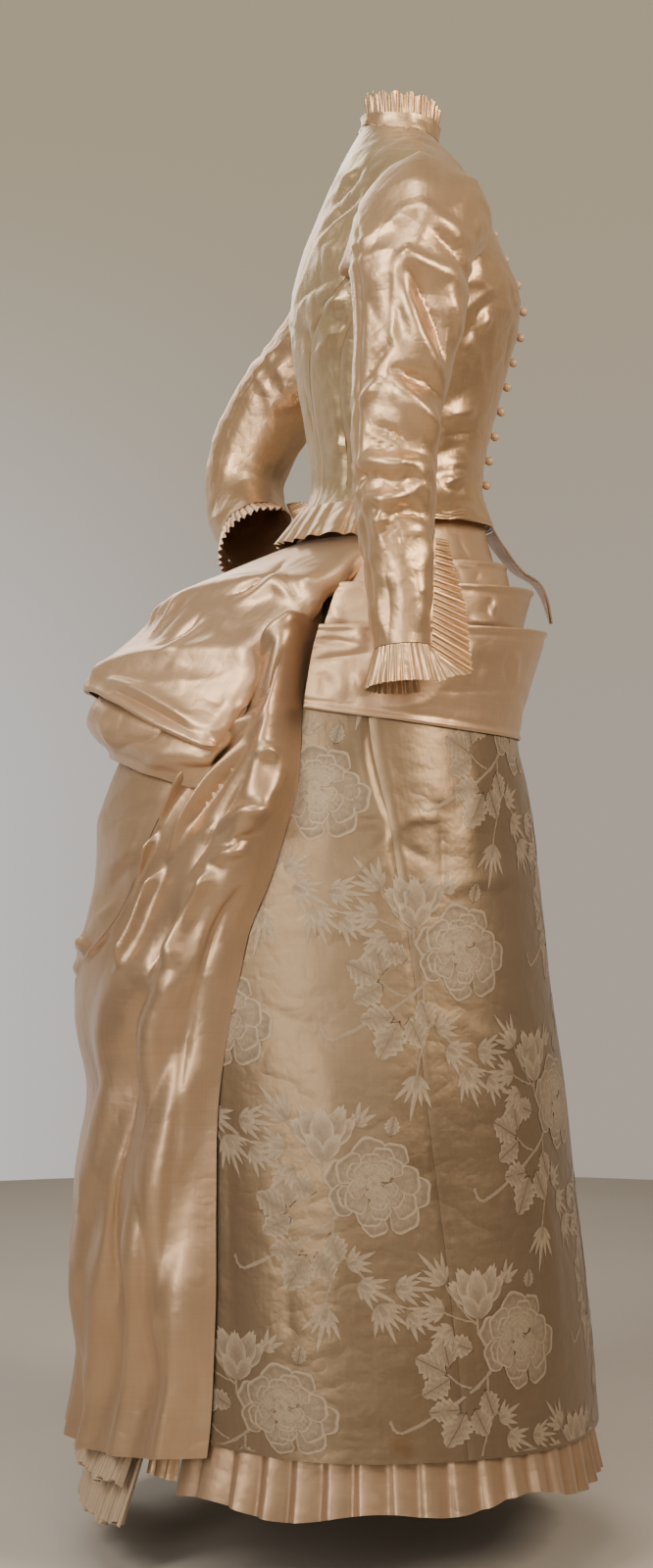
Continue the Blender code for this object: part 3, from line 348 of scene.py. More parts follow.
# Peplum at the back hem of the bodice: its foot, as a ring row, and the bodice level it hangs from.
PEPLUM_LEVEL = 0.5
PEPLUM_FOOT = (1.0, -0.064, -0.064, -0.062, -0.10, 0.1190, 0.002, 0.1460)
# Front point: half width and centre line standing off the hip drapery.
POINT_COLUMNS = ("y", "z", "half_width")
POINT = (
    (-0.0975, -0.0468, 0.034),
    (-0.1080, -0.0640, 0.030),
    (-0.1250, -0.0860, 0.025),
    (-0.1480, -0.1030, 0.019),
    (-0.1600, -0.1400, 0.006),
)

# Leading edge of the side falls, as an angle from the front by drop.
EDGE_COLUMNS = ("v", "front", "back")
FALL_EDGE = (
    (0.137, 118.5, 121.0),
    (0.165, 116.5, 122.0),
    (0.195, 116.0, 125.5),
    (0.230, 115.5, 130.0),
    (0.260, 114.0, 133.5),
    (0.300, 113.0, 138.0),
    (0.350, 115.0, 143.5),
    (0.400, 118.0, 150.0),
    (0.445, 122.0, 156.0),
    (0.490, 124.0, 171.0),
    (0.520, 125.5, 179.9),
    (0.600, 128.5, 179.9),
    (0.700, 129.0, 179.9),
    (0.800, 129.0, 179.9),
    (0.880, 130.0, 179.9),
    (0.959, 131.0, 179.9),
)
FLAP_EDGE = (
    (0.00, 116.0, 244.0),
    (0.25, 116.0, 244.0),
    (0.50, 120.6, 239.4),
    (0.75, 124.0, 236.0),
    (1.06, 127.0, 233.0),
)
PUFF_EDGE = (
    (0.00, 128.0, 232.0),
    (0.60, 133.0, 227.0),
    (1.00, 139.0, 221.0),
)
# Gore seam of the skirt, as an angle by drop.
GORE_COLUMNS = ("v", "turn")
GORE = (
    (0.000, 98.0),
    (0.256, 96.0),
    (0.353, 88.5),
    (0.486, 81.5),
    (0.600, 79.5),
    (0.716, 76.5),
    (0.945, 73.0),
)

# Hip drapery strips: each lies over the one above, its upper edge standing off.
HIP_COLUMNS = ("name", "top", "bottom_front", "bottom_back", "flare")
HIP_EASE = 0.0005
HIP_SWELL = 0.0016
HIP = (
    ("hip_fold_upper", 0.034, 0.124, 0.118, 0.000),
    ("hip_fold_middle", 0.084, 0.150, 0.146, 0.010),
    ("hip_fold_lower", 0.110, 0.178, 0.172, 0.026),
    ("hip_band", 0.152, 0.261, 0.232, 0.028),
)
HIP_END = 114.5

# Sleeve rings below the cap: centre, half sizes across (x) and along (y).
SLEEVE_COLUMNS = ("x", "y", "z", "half_x", "half_y")
SLEEVE_RIGHT = (
    (-0.197, 0.014, 0.178, 0.049, 0.057),
    (-0.201, 0.016, 0.135, 0.047, 0.053),
    (-0.203, 0.022, 0.092, 0.046, 0.048),
    (-0.206, 0.028, 0.052, 0.044, 0.043),
    (-0.210, 0.031, 0.012, 0.043, 0.041),
    (-0.213, 0.031, -0.030, 0.041, 0.039),
    (-0.217, 0.029, -0.075, 0.039, 0.035),
    (-0.221, 0.028, -0.125, 0.037, 0.031),
    (-0.227, 0.026, -0.178, 0.034, 0.026),
)
SLEEVE_LEFT = (
    (0.197, 0.034, 0.200, 0.048, 0.054),
    (0.214, 0.060, 0.168, 0.048, 0.052),
    (0.233, 0.087, 0.137, 0.047, 0.050),
    (0.250, 0.110, 0.105, 0.047, 0.048),
    (0.262, 0.127, 0.070, 0.047, 0.047),
    (0.262, 0.137, 0.034, 0.046, 0.045),
    (0.246, 0.138, 0.003, 0.044, 0.044),
    (0.222, 0.134, -0.018, 0.043, 0.043),
    (0.196, 0.128, -0.034, 0.042, 0.042),
)
CAP_STEPS = 3
CAP_REACH = 0.045
ARMHOLE_LIFT = 0.0012

# Large folds of the frame: ends as shares across and down, then half width and height.
FALL_FOLDS = (
    (0.10, 0.04, 0.10, 1.00, 0.015, 0.013),
    (0.36, 0.06, 0.34, 1.00, 0.015, 0.016),
    (0.64, 0.06, 0.62, 1.00, 0.017, 0.014),
    (0.92, 0.10, 0.88, 1.00, 0.018, 0.012),
)
FLAP_FOLDS = (
    (0.04, 0.20, 0.45, 0.42, 0.014, 0.008),
    (0.05, 0.45, 0.40, 0.72, 0.016, 0.007),
    (0.96, 0.20, 0.55, 0.42, 0.014, 0.008),
    (0.95, 0.45, 0.60, 0.72, 0.016, 0.007),
)

BUTTON_RADIUS = 0.0048
BUTTON_PITCH = 0.0255
BUTTON_TOP = 0.308
BUTTON_COUNT = 13
FLOUNCE_PLEATS = 40
CUFF_WIDTH = 0.036
VENT_ROWS = (-3, -2, -1)
HUNG_INSIDE = 0.0098
PEPLUM_FLUTES = 12
PEPLUM_SPAN = (116.0, 244.0)
SKIRT_REAR = 150.0
FALL_BACK_LEVELS = (0.235, 0.30, 0.35, 0.40, 0.445, 0.485, 0.512)
PUFF_LEVELS = (0.0, 0.3, 0.6, 0.85, 1.0)
FLAP_LEVELS = (0.0, 0.25, 0.5, 0.75, 0.92, 1.0, 1.06)
COLLAR = (
    (0.0, 0.3440, 0.3550, 0.3660, -0.0434, 0.0356, -0.004, 0.0492),
    (1.0, 0.3550, 0.3640, 0.3730, -0.0430, 0.0350, -0.004, 0.0470),
    (2.0, 0.3630, 0.3700, 0.3770, -0.0440, 0.0360, -0.004, 0.0470),
)
FRILL = (
    (0.0, 0.352, 0.360, 0.368, -0.0391, 0.0311, -0.004, 0.0431),
    (2.0, 0.382, 0.390, 0.397, -0.0412, 0.0342, -0.004, 0.0449),
)


def rows_at(table, where):
    """Every column of a table at each place in where, on a smooth curve through its rows."""
    data = np.array(table, dtype=float)
    keys = data[:, 0]
    where = np.clip(np.asarray(where, dtype=float), keys[0], keys[-1])
    slopes = np.gradient(data, keys, axis=0)
    low = np.clip(np.searchsorted(keys, where) - 1, 0, len(keys) - 2)
    span = (keys[low + 1] - keys[low])[..., None]
    t = (where[..., None] - keys[low][..., None]) / span
    return (
        (2 * t**3 - 3 * t**2 + 1) * data[low] + (t**3 - 2 * t**2 + t) * slopes[low] * span
        + (3 * t**2 - 2 * t**3) * data[low + 1] + (t**3 - t**2) * slopes[low + 1] * span
    )


def on_ring(table, v, turn):
    """Points of the ring surface at v and at a turn in degrees from the front, wearer's right first."""
    v, turn = np.broadcast_arrays(np.asarray(v, float), np.asarray(turn, float))
    _, z_front, z_side, z_back, y_front, y_back, y_wide, half = np.moveaxis(rows_at(table, v), -1, 0)
    s, c = np.sin(np.radians(turn)), np.cos(np.radians(turn))
    front = c > 0
    reach = np.where(front, y_wide - y_front, y_back - y_wide)
    z_end = np.where(front, z_front, z_back)
    return np.stack((-half * s, y_wide - reach * c, z_side * s * s + z_end * c * c), axis=-1)


def ring_out(table, v, turn):
    """Outward normals of the ring surface, shared by neighbours along a seam."""
    rise = 0.002 * (table[-1][0] - table[0][0])
    low = np.maximum(np.asarray(v, float) - rise, table[0][0])
    high = np.minimum(np.asarray(v, float) + rise, table[-1][0])
    across = on_ring(table, v, np.asarray(turn) + 0.5) - on_ring(table, v, np.asarray(turn) - 0.5)
    along = on_ring(table, high, turn) - on_ring(table, low, turn)
    normal = np.cross(across, along)
    normal /= np.linalg.norm(normal, axis=-1, keepdims=True)
    middle = on_ring(table, v, turn) - np.array((0.0, 0.04, 0.0))
    middle[..., 2] = 0.0
    turned = np.sum(normal * middle, axis=-1, keepdims=True) < 0
    return np.where(turned, -normal, normal)


def lay(table, v, left, right, columns, side=1):
    """Points and normals over rows v, between a left and a right turn that may change by row."""
    v = np.asarray(v, float)[:, None]
    share = np.linspace(0.0, 1.0, columns)[None, :]
    left = np.broadcast_to(np.asarray(left, float).reshape(-1, 1), (len(v), 1))
    right = np.broadcast_to(np.asarray(right, float).reshape(-1, 1), (len(v), 1))
    turn = left + (right - left) * share
    v = np.broadcast_to(v, turn.shape)
    points, normals = on_ring(table, v, turn), ring_out(table, v, turn)
    if side < 0:
        points[..., 0] *= -1
        normals[..., 0] *= -1
    return points, normals


def finer(grid, rows, columns, wrap=False):
    """A smooth finer grid through a coarse one, round and round if wrap is true."""
    def along(line, count, loop):
        n = len(line)
        t = np.linspace(0, n, count, endpoint=False) if loop else np.linspace(0, n - 1, count)
        i = np.minimum(t.astype(int), n - 1 if loop else n - 2)
        f = (t - i).reshape(-1, *([1] * (line.ndim - 1)))

        def pick(k):
            if loop:
                return line[k % n]
            ends = np.clip(k, 0, n - 1)
            out = line[ends]
            low, high = k < 0, k > n - 1
            out = np.where(low.reshape(f.shape), 2 * line[0] - line[1], out)
            return np.where(high.reshape(f.shape), 2 * line[-1] - line[-2], out)

        p0, p1, p2, p3 = pick(i - 1), pick(i), pick(i + 1), pick(i + 2)
        return 0.5 * (
            2 * p1 + (p2 - p0) * f + (2 * p0 - 5 * p1 + 4 * p2 - p3) * f**2 + (3 * p1 - p0 - 3 * p2 + p3) * f**3
        )

    grid = along(grid, rows, False)
    return np.swapaxes(along(np.swapaxes(grid, 0, 1), columns, wrap), 0, 1)


def facing(points, wrap=False, away=None):
    """Unit normals of a grid, turned away from a middle point or from its own rings' middles."""
    if wrap:
        across = np.roll(points, -1, axis=1) - np.roll(points, 1, axis=1)
    else:
        across = np.gradient(points, axis=1)
    normal = np.cross(across, np.gradient(points, axis=0))
    normal /= np.maximum(np.linalg.norm(normal, axis=2, keepdims=True), 1e-9)
    middle = points.mean(axis=1, keepdims=True) if away is None else np.array(away)
    if np.sum(normal * (points - middle)) < 0:
        normal = -normal
    return normal


def at(grid, a, b):
    """A grid's value at shares a across and b down."""
    rows, columns = grid.shape[:2]
    c = np.clip(np.asarray(a, float), 0, 1) * (columns - 1)
    r = np.clip(np.asarray(b, float), 0, 1) * (rows - 1)
    c0, r0 = np.minimum(c.astype(int), columns - 2), np.minimum(r.astype(int), rows - 2)
    fc, fr = (c - c0)[..., None], (r - r0)[..., None]
    top = grid[r0, c0] * (1 - fc) + grid[r0, c0 + 1] * fc
    low = grid[r0 + 1, c0] * (1 - fc) + grid[r0 + 1, c0 + 1] * fc
    return top * (1 - fr) + low * fr


# A crease runs from (a0, b0) by (a1, b1) to (a2, b2), as shares across and down its piece, in percent.
# Width and height are in millimetres, a height below 0 is a trough. Fade: 0 both ends die away,
# 1 strong at the start only, 2 strong all along.
CREASE_COLUMNS = ("a0", "b0", "a1", "b1", "a2", "b2", "width", "height", "fade")


def creased(points, normal, table, scale=1.0):
    """Moves a grid out over each ridge of the table and in along each trough."""
    shift = np.zeros(points.shape[:2])
    for row in table:
        c = dict(zip(CREASE_COLUMNS, row))
        s = np.linspace(0.0, 1.0, 15)
        way = []
        for k in ("a", "b"):
            p0, p1, p2 = (c[k + i] / 100.0 for i in "012")
            bend = 2 * p1 - 0.5 * (p0 + p2)
            way.append((1 - s) ** 2 * p0 + 2 * s * (1 - s) * bend + s * s * p2)
        line = at(points, way[0], way[1])
        width = c["width"] / 1000.0
        reach = 3.2 * width
        near = np.all((points > line.min(axis=0) - reach) & (points < line.max(axis=0) + reach), axis=2)
        if not near.any():
            continue
        here = points[near]
        best = np.full(len(here), 9.0)
        where = np.zeros(len(here))
        for k in range(len(line) - 1):
            step = line[k + 1] - line[k]
            t = np.clip((here - line[k]) @ step / max(step @ step, 1e-12), 0, 1)
            gap = np.linalg.norm(here - line[k] - t[:, None] * step, axis=1)
            closer = gap < best
            best[closer] = gap[closer]
            where[closer] = (k + t[closer]) / (len(line) - 1)
        if c["fade"] == 0:
            strength = np.sin(np.pi * np.clip(where, 0.0, 1.0)) ** 1.1
        elif c["fade"] == 1:
            strength = np.cos(0.5 * np.pi * where) ** 1.2 * np.clip(where / 0.15, 0, 1)
        else:
            ends = np.clip(np.minimum(where, 1.0 - where) / 0.22, 0, 1)
            strength = ends * ends * (3 - 2 * ends)
        x = best / width
        form = np.exp(-x * x) if c["height"] > 0 else np.exp(-1.4 * x)
        shift[near] += scale * c["height"] / 1000.0 * strength * form
    return points + normal * shift[..., None]


def soft_noise(points, size, seed):
    """Smooth seeded unevenness from -1 to 1 over points, about size metres from crest to crest."""
    spin = np.random.default_rng(seed)
    total = np.zeros(points.shape[:-1])
    for _ in range(7):
        way = spin.normal(size=3)
        way /= np.linalg.norm(way)
        pitch = size * (0.7 + 0.9 * spin.random())
        total += np.sin(2 * np.pi * (points @ way) / pitch + 6.28 * spin.random())
    return total / 4.0


def uneven(points, normal, size, height, seed, hold=None):
    """Soft hand-height unevenness; hold is a weight per point."""
    shift = soft_noise(points, size, seed) * height
    if hold is not None:
        shift = shift * hold
    return points + normal * shift[..., None]


def edge_weight(shape, left=0.0, right=0.0, top=0.0, foot=0.0):
    """1 inside a grid, falling smoothly to 0 at each edge that has a margin, given as a share."""
    rows, columns = shape[:2]
    a = np.linspace(0, 1, columns)[None, :]
    b = np.linspace(0, 1, rows)[:, None]
    weight = np.ones((rows, columns))
    for gap, margin in ((a, left), (1 - a, right), (b, top), (1 - b, foot)):
        if margin:
            t = np.clip(gap / margin, 0, 1)
            weight = weight * (t * t * (3 - 2 * t))
    return weight


def seamed(points, normal, edges, depth=0.0012, width=0.0035):
    """Draws the cloth in along sewn edges: l, r, t, f for left, right, top, foot."""
    shift = np.zeros(points.shape[:2])
    lines = {"l": points[:, :1], "r": points[:, -1:], "t": points[:1], "f": points[-1:]}
    for edge in edges:
        gap = np.linalg.norm(points - lines[edge], axis=2)
        shift -= depth * np.exp(-(gap / width) ** 2)
        shift += 0.35 * depth * np.exp(-((gap - 2.4 * width) / width) ** 2)
    return points + normal * shift[..., None]


def kept(base, points, left=0.0, right=0.0, top=0.0, foot=0.0):
    """The moved points, brought back to the base near each edge that has a margin."""
    return base + (points - base) * edge_weight(points.shape, left, right, top, foot)[..., None]


def tucked(points, normal, width, drop, extra=7):
    """Adds columns at both sides that curve under, width wide and drop deep."""
    t = np.linspace(0.0, 1.0, extra + 1)[1:]
    sides = []
    for edge, inner in ((0, 3), (-1, -4)):
        along = points[:, edge] - points[:, inner]
        along /= np.linalg.norm(along, axis=1, keepdims=True)
        turn = 1.7 * t[None, :, None]
        more = points[:, edge][:, None] + along[:, None] * width * np.sin(turn)
        sides.append(more - normal[:, edge][:, None] * drop * (1 - np.cos(turn)))
    return np.concatenate((sides[0][:, ::-1], points, sides[1]), axis=1)


def rolled(points, normal, edges, height=0.0030, width=0.0045):
    """Turns edges under in a soft roll: l, r, t, f for left, right, top, foot."""
    shift = np.zeros(points.shape[:2])
    lines = {"l": points[:, :1], "r": points[:, -1:], "t": points[:1], "f": points[-1:]}
    for edge in edges:
        gap = np.linalg.norm(points - lines[edge], axis=2)
        shift += height * np.exp(-((gap - width) / (0.62 * width)) ** 2)
        shift -= 0.45 * height * np.exp(-((gap - 3.1 * width) / width) ** 2)
    return points + normal * shift[..., None]


def corded(points, normal, edge, gaps, radius=0.0011):
    """Raises a cord under the cloth at each gap in from one edge."""
    line = {"l": points[:, :1], "r": points[:, -1:], "t": points[:1], "f": points[-1:]}[edge]
    away = np.linalg.norm(points - line, axis=2)
    shift = np.zeros(points.shape[:2])
    for gap in gaps:
        shift += radius * np.exp(-((away - gap) / (0.8 * radius)) ** 2)
        shift -= 0.5 * radius * np.exp(-((away - gap - 1.9 * radius) / (0.7 * radius)) ** 2)
    return points + normal * shift[..., None]


def crinkled(points, normal, pitch, height, seed, ways=((0.2, 0.5, 1.0), (0.1, 1.0, -0.5)), hold=None):
    """Sharp-crested small creases in patches, about pitch metres apart, crossing each of the ways."""
    shift = np.zeros(points.shape[:2])
    for k, way in enumerate(ways):
        way = np.array(way) / np.linalg.norm(way)
        bent = points @ way / pitch + 0.55 * soft_noise(points, 2.6 * pitch, seed + 3 * k)
        crest = 1.0 - 2.0 * np.abs(np.sin(np.pi * bent))
        patch = np.clip(soft_noise(points, 4.5 * pitch, seed + 3 * k + 1) + 0.15, 0, 1)
        shift += height * np.sign(crest) * np.abs(crest) ** 1.2 * patch
    if hold is not None:
        shift = shift * hold
    return points + normal * shift[..., None]


# Walls from this thickness up have the plainer lining side, set in deeper away from the border.
LINED = 0.00055
LINING_DEPTH = 0.0006


def lining(rows, columns, wrap):
    """Faces of the inner wall: half as fine as the outer one, but point for point along the border."""
    down = sorted({*range(0, rows, 2), rows - 1})
    across = sorted({*range(0, columns, 2), columns if wrap else columns - 1})
    faces = []
    for r, s in zip(down, down[1:]):
        for c, d in zip(across, across[1:]):
            wide, tall = d - c == 2, s - r == 2
            ring = [(r, c), (r, c + 1) if wide and r == 0 else None, (r, d),
                    (r + 1, d) if tall and not wrap and d == columns - 1 else None, (s, d),
                    (s, c + 1) if wide and s == rows - 1 else None, (s, c),
                    (r + 1, c) if tall and not wrap and c == 0 else None]
            faces.append([i[0] * columns + i[1] % columns for i in ring if i])
    return faces


def sew(name, points, normal, material, node=None, wrap=False, thick=CLOTH):
    """One cloth piece: a closed thin wall on a grid of outer points, with a UV map in metres."""
    rows, columns = points.shape[:2]
    lined = thick > LINED
    depth = np.full((rows, columns, 1), thick)
    if lined:
        depth[1:-1, slice(None) if wrap else slice(1, -1)] += LINING_DEPTH
    inner = points - normal * depth
    verts = np.concatenate((points.reshape(-1, 3), inner.reshape(-1, 3)))
    half = rows * columns
    turns = columns if wrap else columns - 1
    r, c = np.meshgrid(np.arange(rows - 1), np.arange(turns), indexing="ij")
    d = (c + 1) % columns
    quads = np.stack((r * columns + c, r * columns + d, (r + 1) * columns + d, (r + 1) * columns + c), axis=-1)
    quads = quads.reshape(-1, 4)
    p = verts[quads]
    out = np.cross(p[:, 2] - p[:, 0], p[:, 3] - p[:, 1])
    flip = np.sum(out * normal.reshape(-1, 3)[quads[:, 0]]) < 0
    if flip:
        quads = quads[:, ::-1]
    inside = [f if flip else f[::-1] for f in lining(rows, columns, wrap)] if lined else quads[:, ::-1]
    rims = []
    line = np.arange(turns)
    after = (line + 1) % columns
    last = (rows - 1) * columns
    rims.append(np.stack((after, line, half + line, half + after), axis=1))
    rims.append(np.stack((last + line, last + after, half + last + after, half + last + line), axis=1))
    if not wrap:
        up = np.arange(rows - 1) * columns
        end = columns - 1
        rims.append(np.stack((up, up + columns, half + up + columns, half + up), axis=1))
        low, high = up + end, up + end + columns
        rims.append(np.stack((high, low, half + low, half + high), axis=1))
    rims = np.concatenate([q[:, ::-1] if flip else q for q in rims])
    loops = np.concatenate((quads.ravel(), rims.ravel(), np.concatenate([*inside]) + half))
    sizes = np.concatenate((np.full(len(quads) + len(rims), 4), [len(f) for f in inside]))
    used = np.zeros(len(verts), dtype=bool)
    used[loops] = True
    loops = (np.cumsum(used) - 1)[loops]
    mesh = bpy.data.meshes.new(name)
    mesh.vertices.add(int(used.sum()))
    mesh.vertices.foreach_set("co", verts[used].ravel())
    mesh.loops.add(len(loops))
    mesh.loops.foreach_set("vertex_index", loops)
    mesh.polygons.add(len(sizes))
    mesh.polygons.foreach_set("loop_start", np.cumsum(sizes) - sizes)
    mesh.polygons.foreach_set("use_smooth", np.ones(len(sizes), dtype=bool))
    mesh.update(calc_edges=True)
    border = np.zeros(rows * columns, dtype=int)
    border[:columns] = border[last:] = 1
    if not wrap:
        border[::columns] = border[columns - 1::columns] = 1
    border = np.concatenate((border, border * 2))[used]
    ends = np.empty(len(mesh.edges) * 2, dtype=int)
    mesh.edges.foreach_get("vertices", ends)
    ends = border[ends.reshape(-1, 2)]
    sharp = mesh.attributes.new("sharp_edge", "BOOLEAN", "EDGE")
    sharp.data.foreach_set("value", (ends[:, 0] > 0) & (ends[:, 0] == ends[:, 1]))
    across = np.linalg.norm(np.diff(points, axis=1), axis=2).mean(axis=0)
    down = np.linalg.norm(np.diff(points, axis=0), axis=2).mean(axis=1)
    u = np.concatenate(((0.0,), np.cumsum(across)))
    v = np.concatenate(((0.0,), np.cumsum(down)))
    place = np.stack(np.meshgrid(u, -v), axis=-1).reshape(-1, 2)
    place = np.concatenate((place, place))[used]
    layer = mesh.uv_layers.new(name="cloth")
    layer.data.foreach_set("uv", place[loops].ravel())
    mesh.materials.append(material)
    piece = bpy.data.objects.new(name, mesh)
    bpy.context.scene.collection.objects.link(piece)
    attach(piece, "root")
    if node:
        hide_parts(*([node] if isinstance(node, str) else node))
    return piece


def seam_turn(name, v):
    """Turn of a bodice seam at each v; above the underarm it is the armhole's edge."""
    k = {"front": 1, "side": 2, "back": 3}[name]
    v = np.asarray(v, float)
    body = rows_at(SEAMS, np.minimum(v, UNDERARM))[..., k]
    if name == "side":
        return body
    arm = rows_at(ARMHOLE, np.clip(v, UNDERARM, SHOULDER))[..., 1 if name == "front" else 2]
    return np.where(v > SHOULDER, 90.0, np.where(v > UNDERARM, arm, body))


def body_wrinkles(points, normal, seed, strength=1.0):
    """Slack of the lining under the silk: small cross wrinkles between the seams."""
    z = points[..., 2]
    waist = np.exp(-((z - 0.03) / 0.07) ** 2)
    cross = np.sin(2 * np.pi * (z + 0.012 * soft_noise(points, 0.06, seed)) / 0.021)
    patchy = np.clip(soft_noise(points, 0.075, seed + 1), 0, 1)
    middle = edge_weight(points.shape, 0.25, 0.25, 0.0, 0.0)
    shift = strength * 0.0007 * cross * patchy * middle * (0.45 + 0.8 * waist)
    return points + normal * shift[..., None]


CROSS_PULLS = ((0.1, 0.15, 1.0), (0.1, 0.8, 0.7), (0.1, -0.7, 0.8))


def bodice(satin, shade_tinted):
    """Four panels a side, each sewn in along its seams: the front in the satin, the sides and back in a cooler
    copy of it whose tint is painted shade.
    """
    hem = np.linspace(0.0, 0.30, 15)
    low = np.concatenate((hem, np.linspace(0.30, UNDERARM, 72)[1:]))
    tall = np.concatenate((hem, np.linspace(0.30, 10.0, 128)[1:]))
    for side, sign in SIDES:
        panels = (
            ("front", tall, 0 * tall, seam_turn("front", tall), 50, satin, "r"),
            ("side", low, seam_turn("front", low), seam_turn("side", low), 26, shade_tinted, "lr"),
            ("side_back", low, seam_turn("side", low), seam_turn("back", low), 24, shade_tinted, "lr"),
            ("back", tall, seam_turn("back", tall), 180 + 0 * tall, 40, shade_tinted, "lr"),
        )
        for order, (stem, v, left, right, columns, material, seams) in enumerate(panels):
            size = (0.5 * SEAM / BODY_RADIUS) * DEGREES
            points, normal = lay(BODICE, v, left + size, right - size, columns, sign)
            points = seamed(points, normal, seams, 0.0007 if stem == "back" else 0.0012)
            points = corded(points, normal, "t", (0.0016, 0.0056))
            points = body_wrinkles(points, normal, 11 + order + 7 * (sign < 0), 0.5 if stem == "front" else 1.0)
            inside = edge_weight(points.shape, 0.12, 0.12, 0.02, 0.02)
            points = uneven(points, normal, 0.10, 0.0007, 31 + order, inside)
            points = crinkled(points, normal, 0.026, 0.0008, 36 + order, CROSS_PULLS, inside)
            points = creased(points, normal, BODICE_CREASES.get(stem, ()), 1.7 if sign > 0 else 1.4)
            name = "bodice_" + stem + "_" + side
            sew(name + "_cloth", points, normal, material, name)


def armhole_loop(sign):
    """Points and normals round the armhole from the shoulder tip by the front, underarm and back."""
    steps = [(v, float(seam_turn("front", v))) for v in (8.0, 7.6, 7.0, 6.5, 6.0, 5.5)]
    front, side, back = (float(seam_turn(k, UNDERARM)) for k in ("front", "side", "back"))
    steps += [(UNDERARM, front), (UNDERARM, (front + side) / 2)]
    steps += [(UNDERARM, side), (UNDERARM, (side + back) / 2), (UNDERARM, back)]
    steps += [(v, float(seam_turn("back", v))) for v in (5.5, 6.0, 6.5, 7.0, 7.6)]
    v, turn = np.array(steps).T
    here = on_ring(BODICE, v, turn)
    normal = np.cross(on_ring(BODICE, v + 0.02, turn) - here, on_ring(BODICE, v, turn + 1) - here)
    normal /= np.linalg.norm(normal, axis=1, keepdims=True)
    normal = np.where(normal[:, :1] > 0, -normal, normal)
    points = here + normal * ARMHOLE_LIFT
    flip = np.array((float(sign), 1.0, 1.0))
    return points * flip, normal * flip


def sleeve_grid(table, sign):
    """The coarse sleeve: armhole, cap, then rings across the arm's path."""
    start, normals = armhole_loop(sign)
    data = np.array(table)
    centres = data[:, :3]
    tangents = np.gradient(centres, axis=0)
    tangents /= np.linalg.norm(tangents, axis=1, keepdims=True)
    rel = start - start.mean(axis=0)
    turn = np.arctan2(-rel[:, 1], rel[:, 2])
    rings = []
    for (x, y, z, half_x, half_y), tangent in zip(data, tangents):
        out = np.array((-float(sign), 0.0, 0.0))
        out = out - tangent * out.dot(tangent)
        out /= np.linalg.norm(out)
        front = np.cross(tangent, out) * sign
        if front[1] > 0.3:
            front = -front
        rings.append(
            np.array((x, y, z)) + half_x * np.cos(turn)[:, None] * out + half_y * np.sin(turn)[:, None] * front
        )
    first = rings[0]
    span = np.linalg.norm(first - start, axis=1, keepdims=True)
    away = normals * np.array((1.0, 1.0, 0.5))
    away /= np.linalg.norm(away, axis=1, keepdims=True)
    m0 = away * np.maximum(span * 1.1, CAP_REACH)
    m1 = tangents[0] * np.maximum(span * 1.2, CAP_REACH * 0.5)
    cap = [start]
    for step in range(1, CAP_STEPS + 1):
        t = step / (CAP_STEPS + 1)
        cap.append(
            (2 * t**3 - 3 * t**2 + 1) * start + (t**3 - 2 * t**2 + t) * m0
            + (3 * t**2 - 2 * t**3) * first + (t**3 - t**2) * m1
        )
    return np.concatenate((np.array(cap), np.array(rings)))


SLEEVE_COUNT = 16
FRONT_SEAM = 4
BACK_SEAM = SLEEVE_COUNT - 3
FINE = 9


def sleeves(satin):
    """Upper and under sleeve of each arm with their pulls and elbow folds, then the cuff ruffles."""
    for side, sign, table in (("right", 1, SLEEVE_RIGHT), ("left", -1, SLEEVE_LEFT)):
        coarse = sleeve_grid(table, sign)
        rows = (len(coarse) - 1) * 11 + 1
        grid = finer(coarse, rows, SLEEVE_COUNT * FINE, wrap=True)
        normal = facing(grid, wrap=True)
        half = SLEEVE_COUNT * FINE // 2 if sign > 0 else 0
        turned = np.roll(grid, half, axis=1), np.roll(normal, half, axis=1)
        ring, out = (np.concatenate((line, line[:, :1]), axis=1) for line in turned)
        ring = creased(ring, out, SLEEVE_CREASES[side], 2.0)[:, :-1]
        grid = np.roll(ring, -half, axis=1)
        hold = edge_weight(grid.shape, 0, 0, 0.08, 0.03)
        grid = uneven(grid, normal, 0.07, 0.0011, 5 + sign, hold)
        grid = crinkled(grid, normal, 0.030, 0.0016, 15 + sign, ((0.3, 0.5, 1.0), (0.3, 1.0, -0.6)), hold)
        normal = facing(grid, wrap=True)
        total = SLEEVE_COUNT * FINE
        front, back = FRONT_SEAM * FINE, BACK_SEAM * FINE
        upper = [i % total for i in range(back, total + front + 1)]
        under = list(range(front, back + 1))
        for stem, picks in (("sleeve_upper", upper), ("sleeve_under", under)):
            points, out = grid[:, picks].copy(), normal[:, picks]
            for end, inner in ((0, 1), (-1, -2)):
                step = points[:, inner] - points[:, end]
                step /= np.linalg.norm(step, axis=1, keepdims=True)
                points[:, end] += step * SEAM / 2
            points = seamed(points, out, "lr", 0.0013, 0.0035)
            points = seamed(points, out, "t", 0.0010, 0.0045)
            name = stem + "_" + side
            sew(name + "_cloth", points, out, satin, name)
        cuff(side, coarse, facing(coarse, wrap=True), satin)


def pleats(phase, crisp=0.82):
    """A knife pleat's height over its phase: a soft rise and a quick return."""
    p = np.mod(phase, 1.0)
    rise = np.sin(0.5 * np.pi * np.clip(p / crisp, 0, 1)) ** 1.3
    back = np.clip((1 - p) / (1 - crisp), 0, 1)
    return np.where(p < crisp, rise, back * back * (3 - 2 * back))


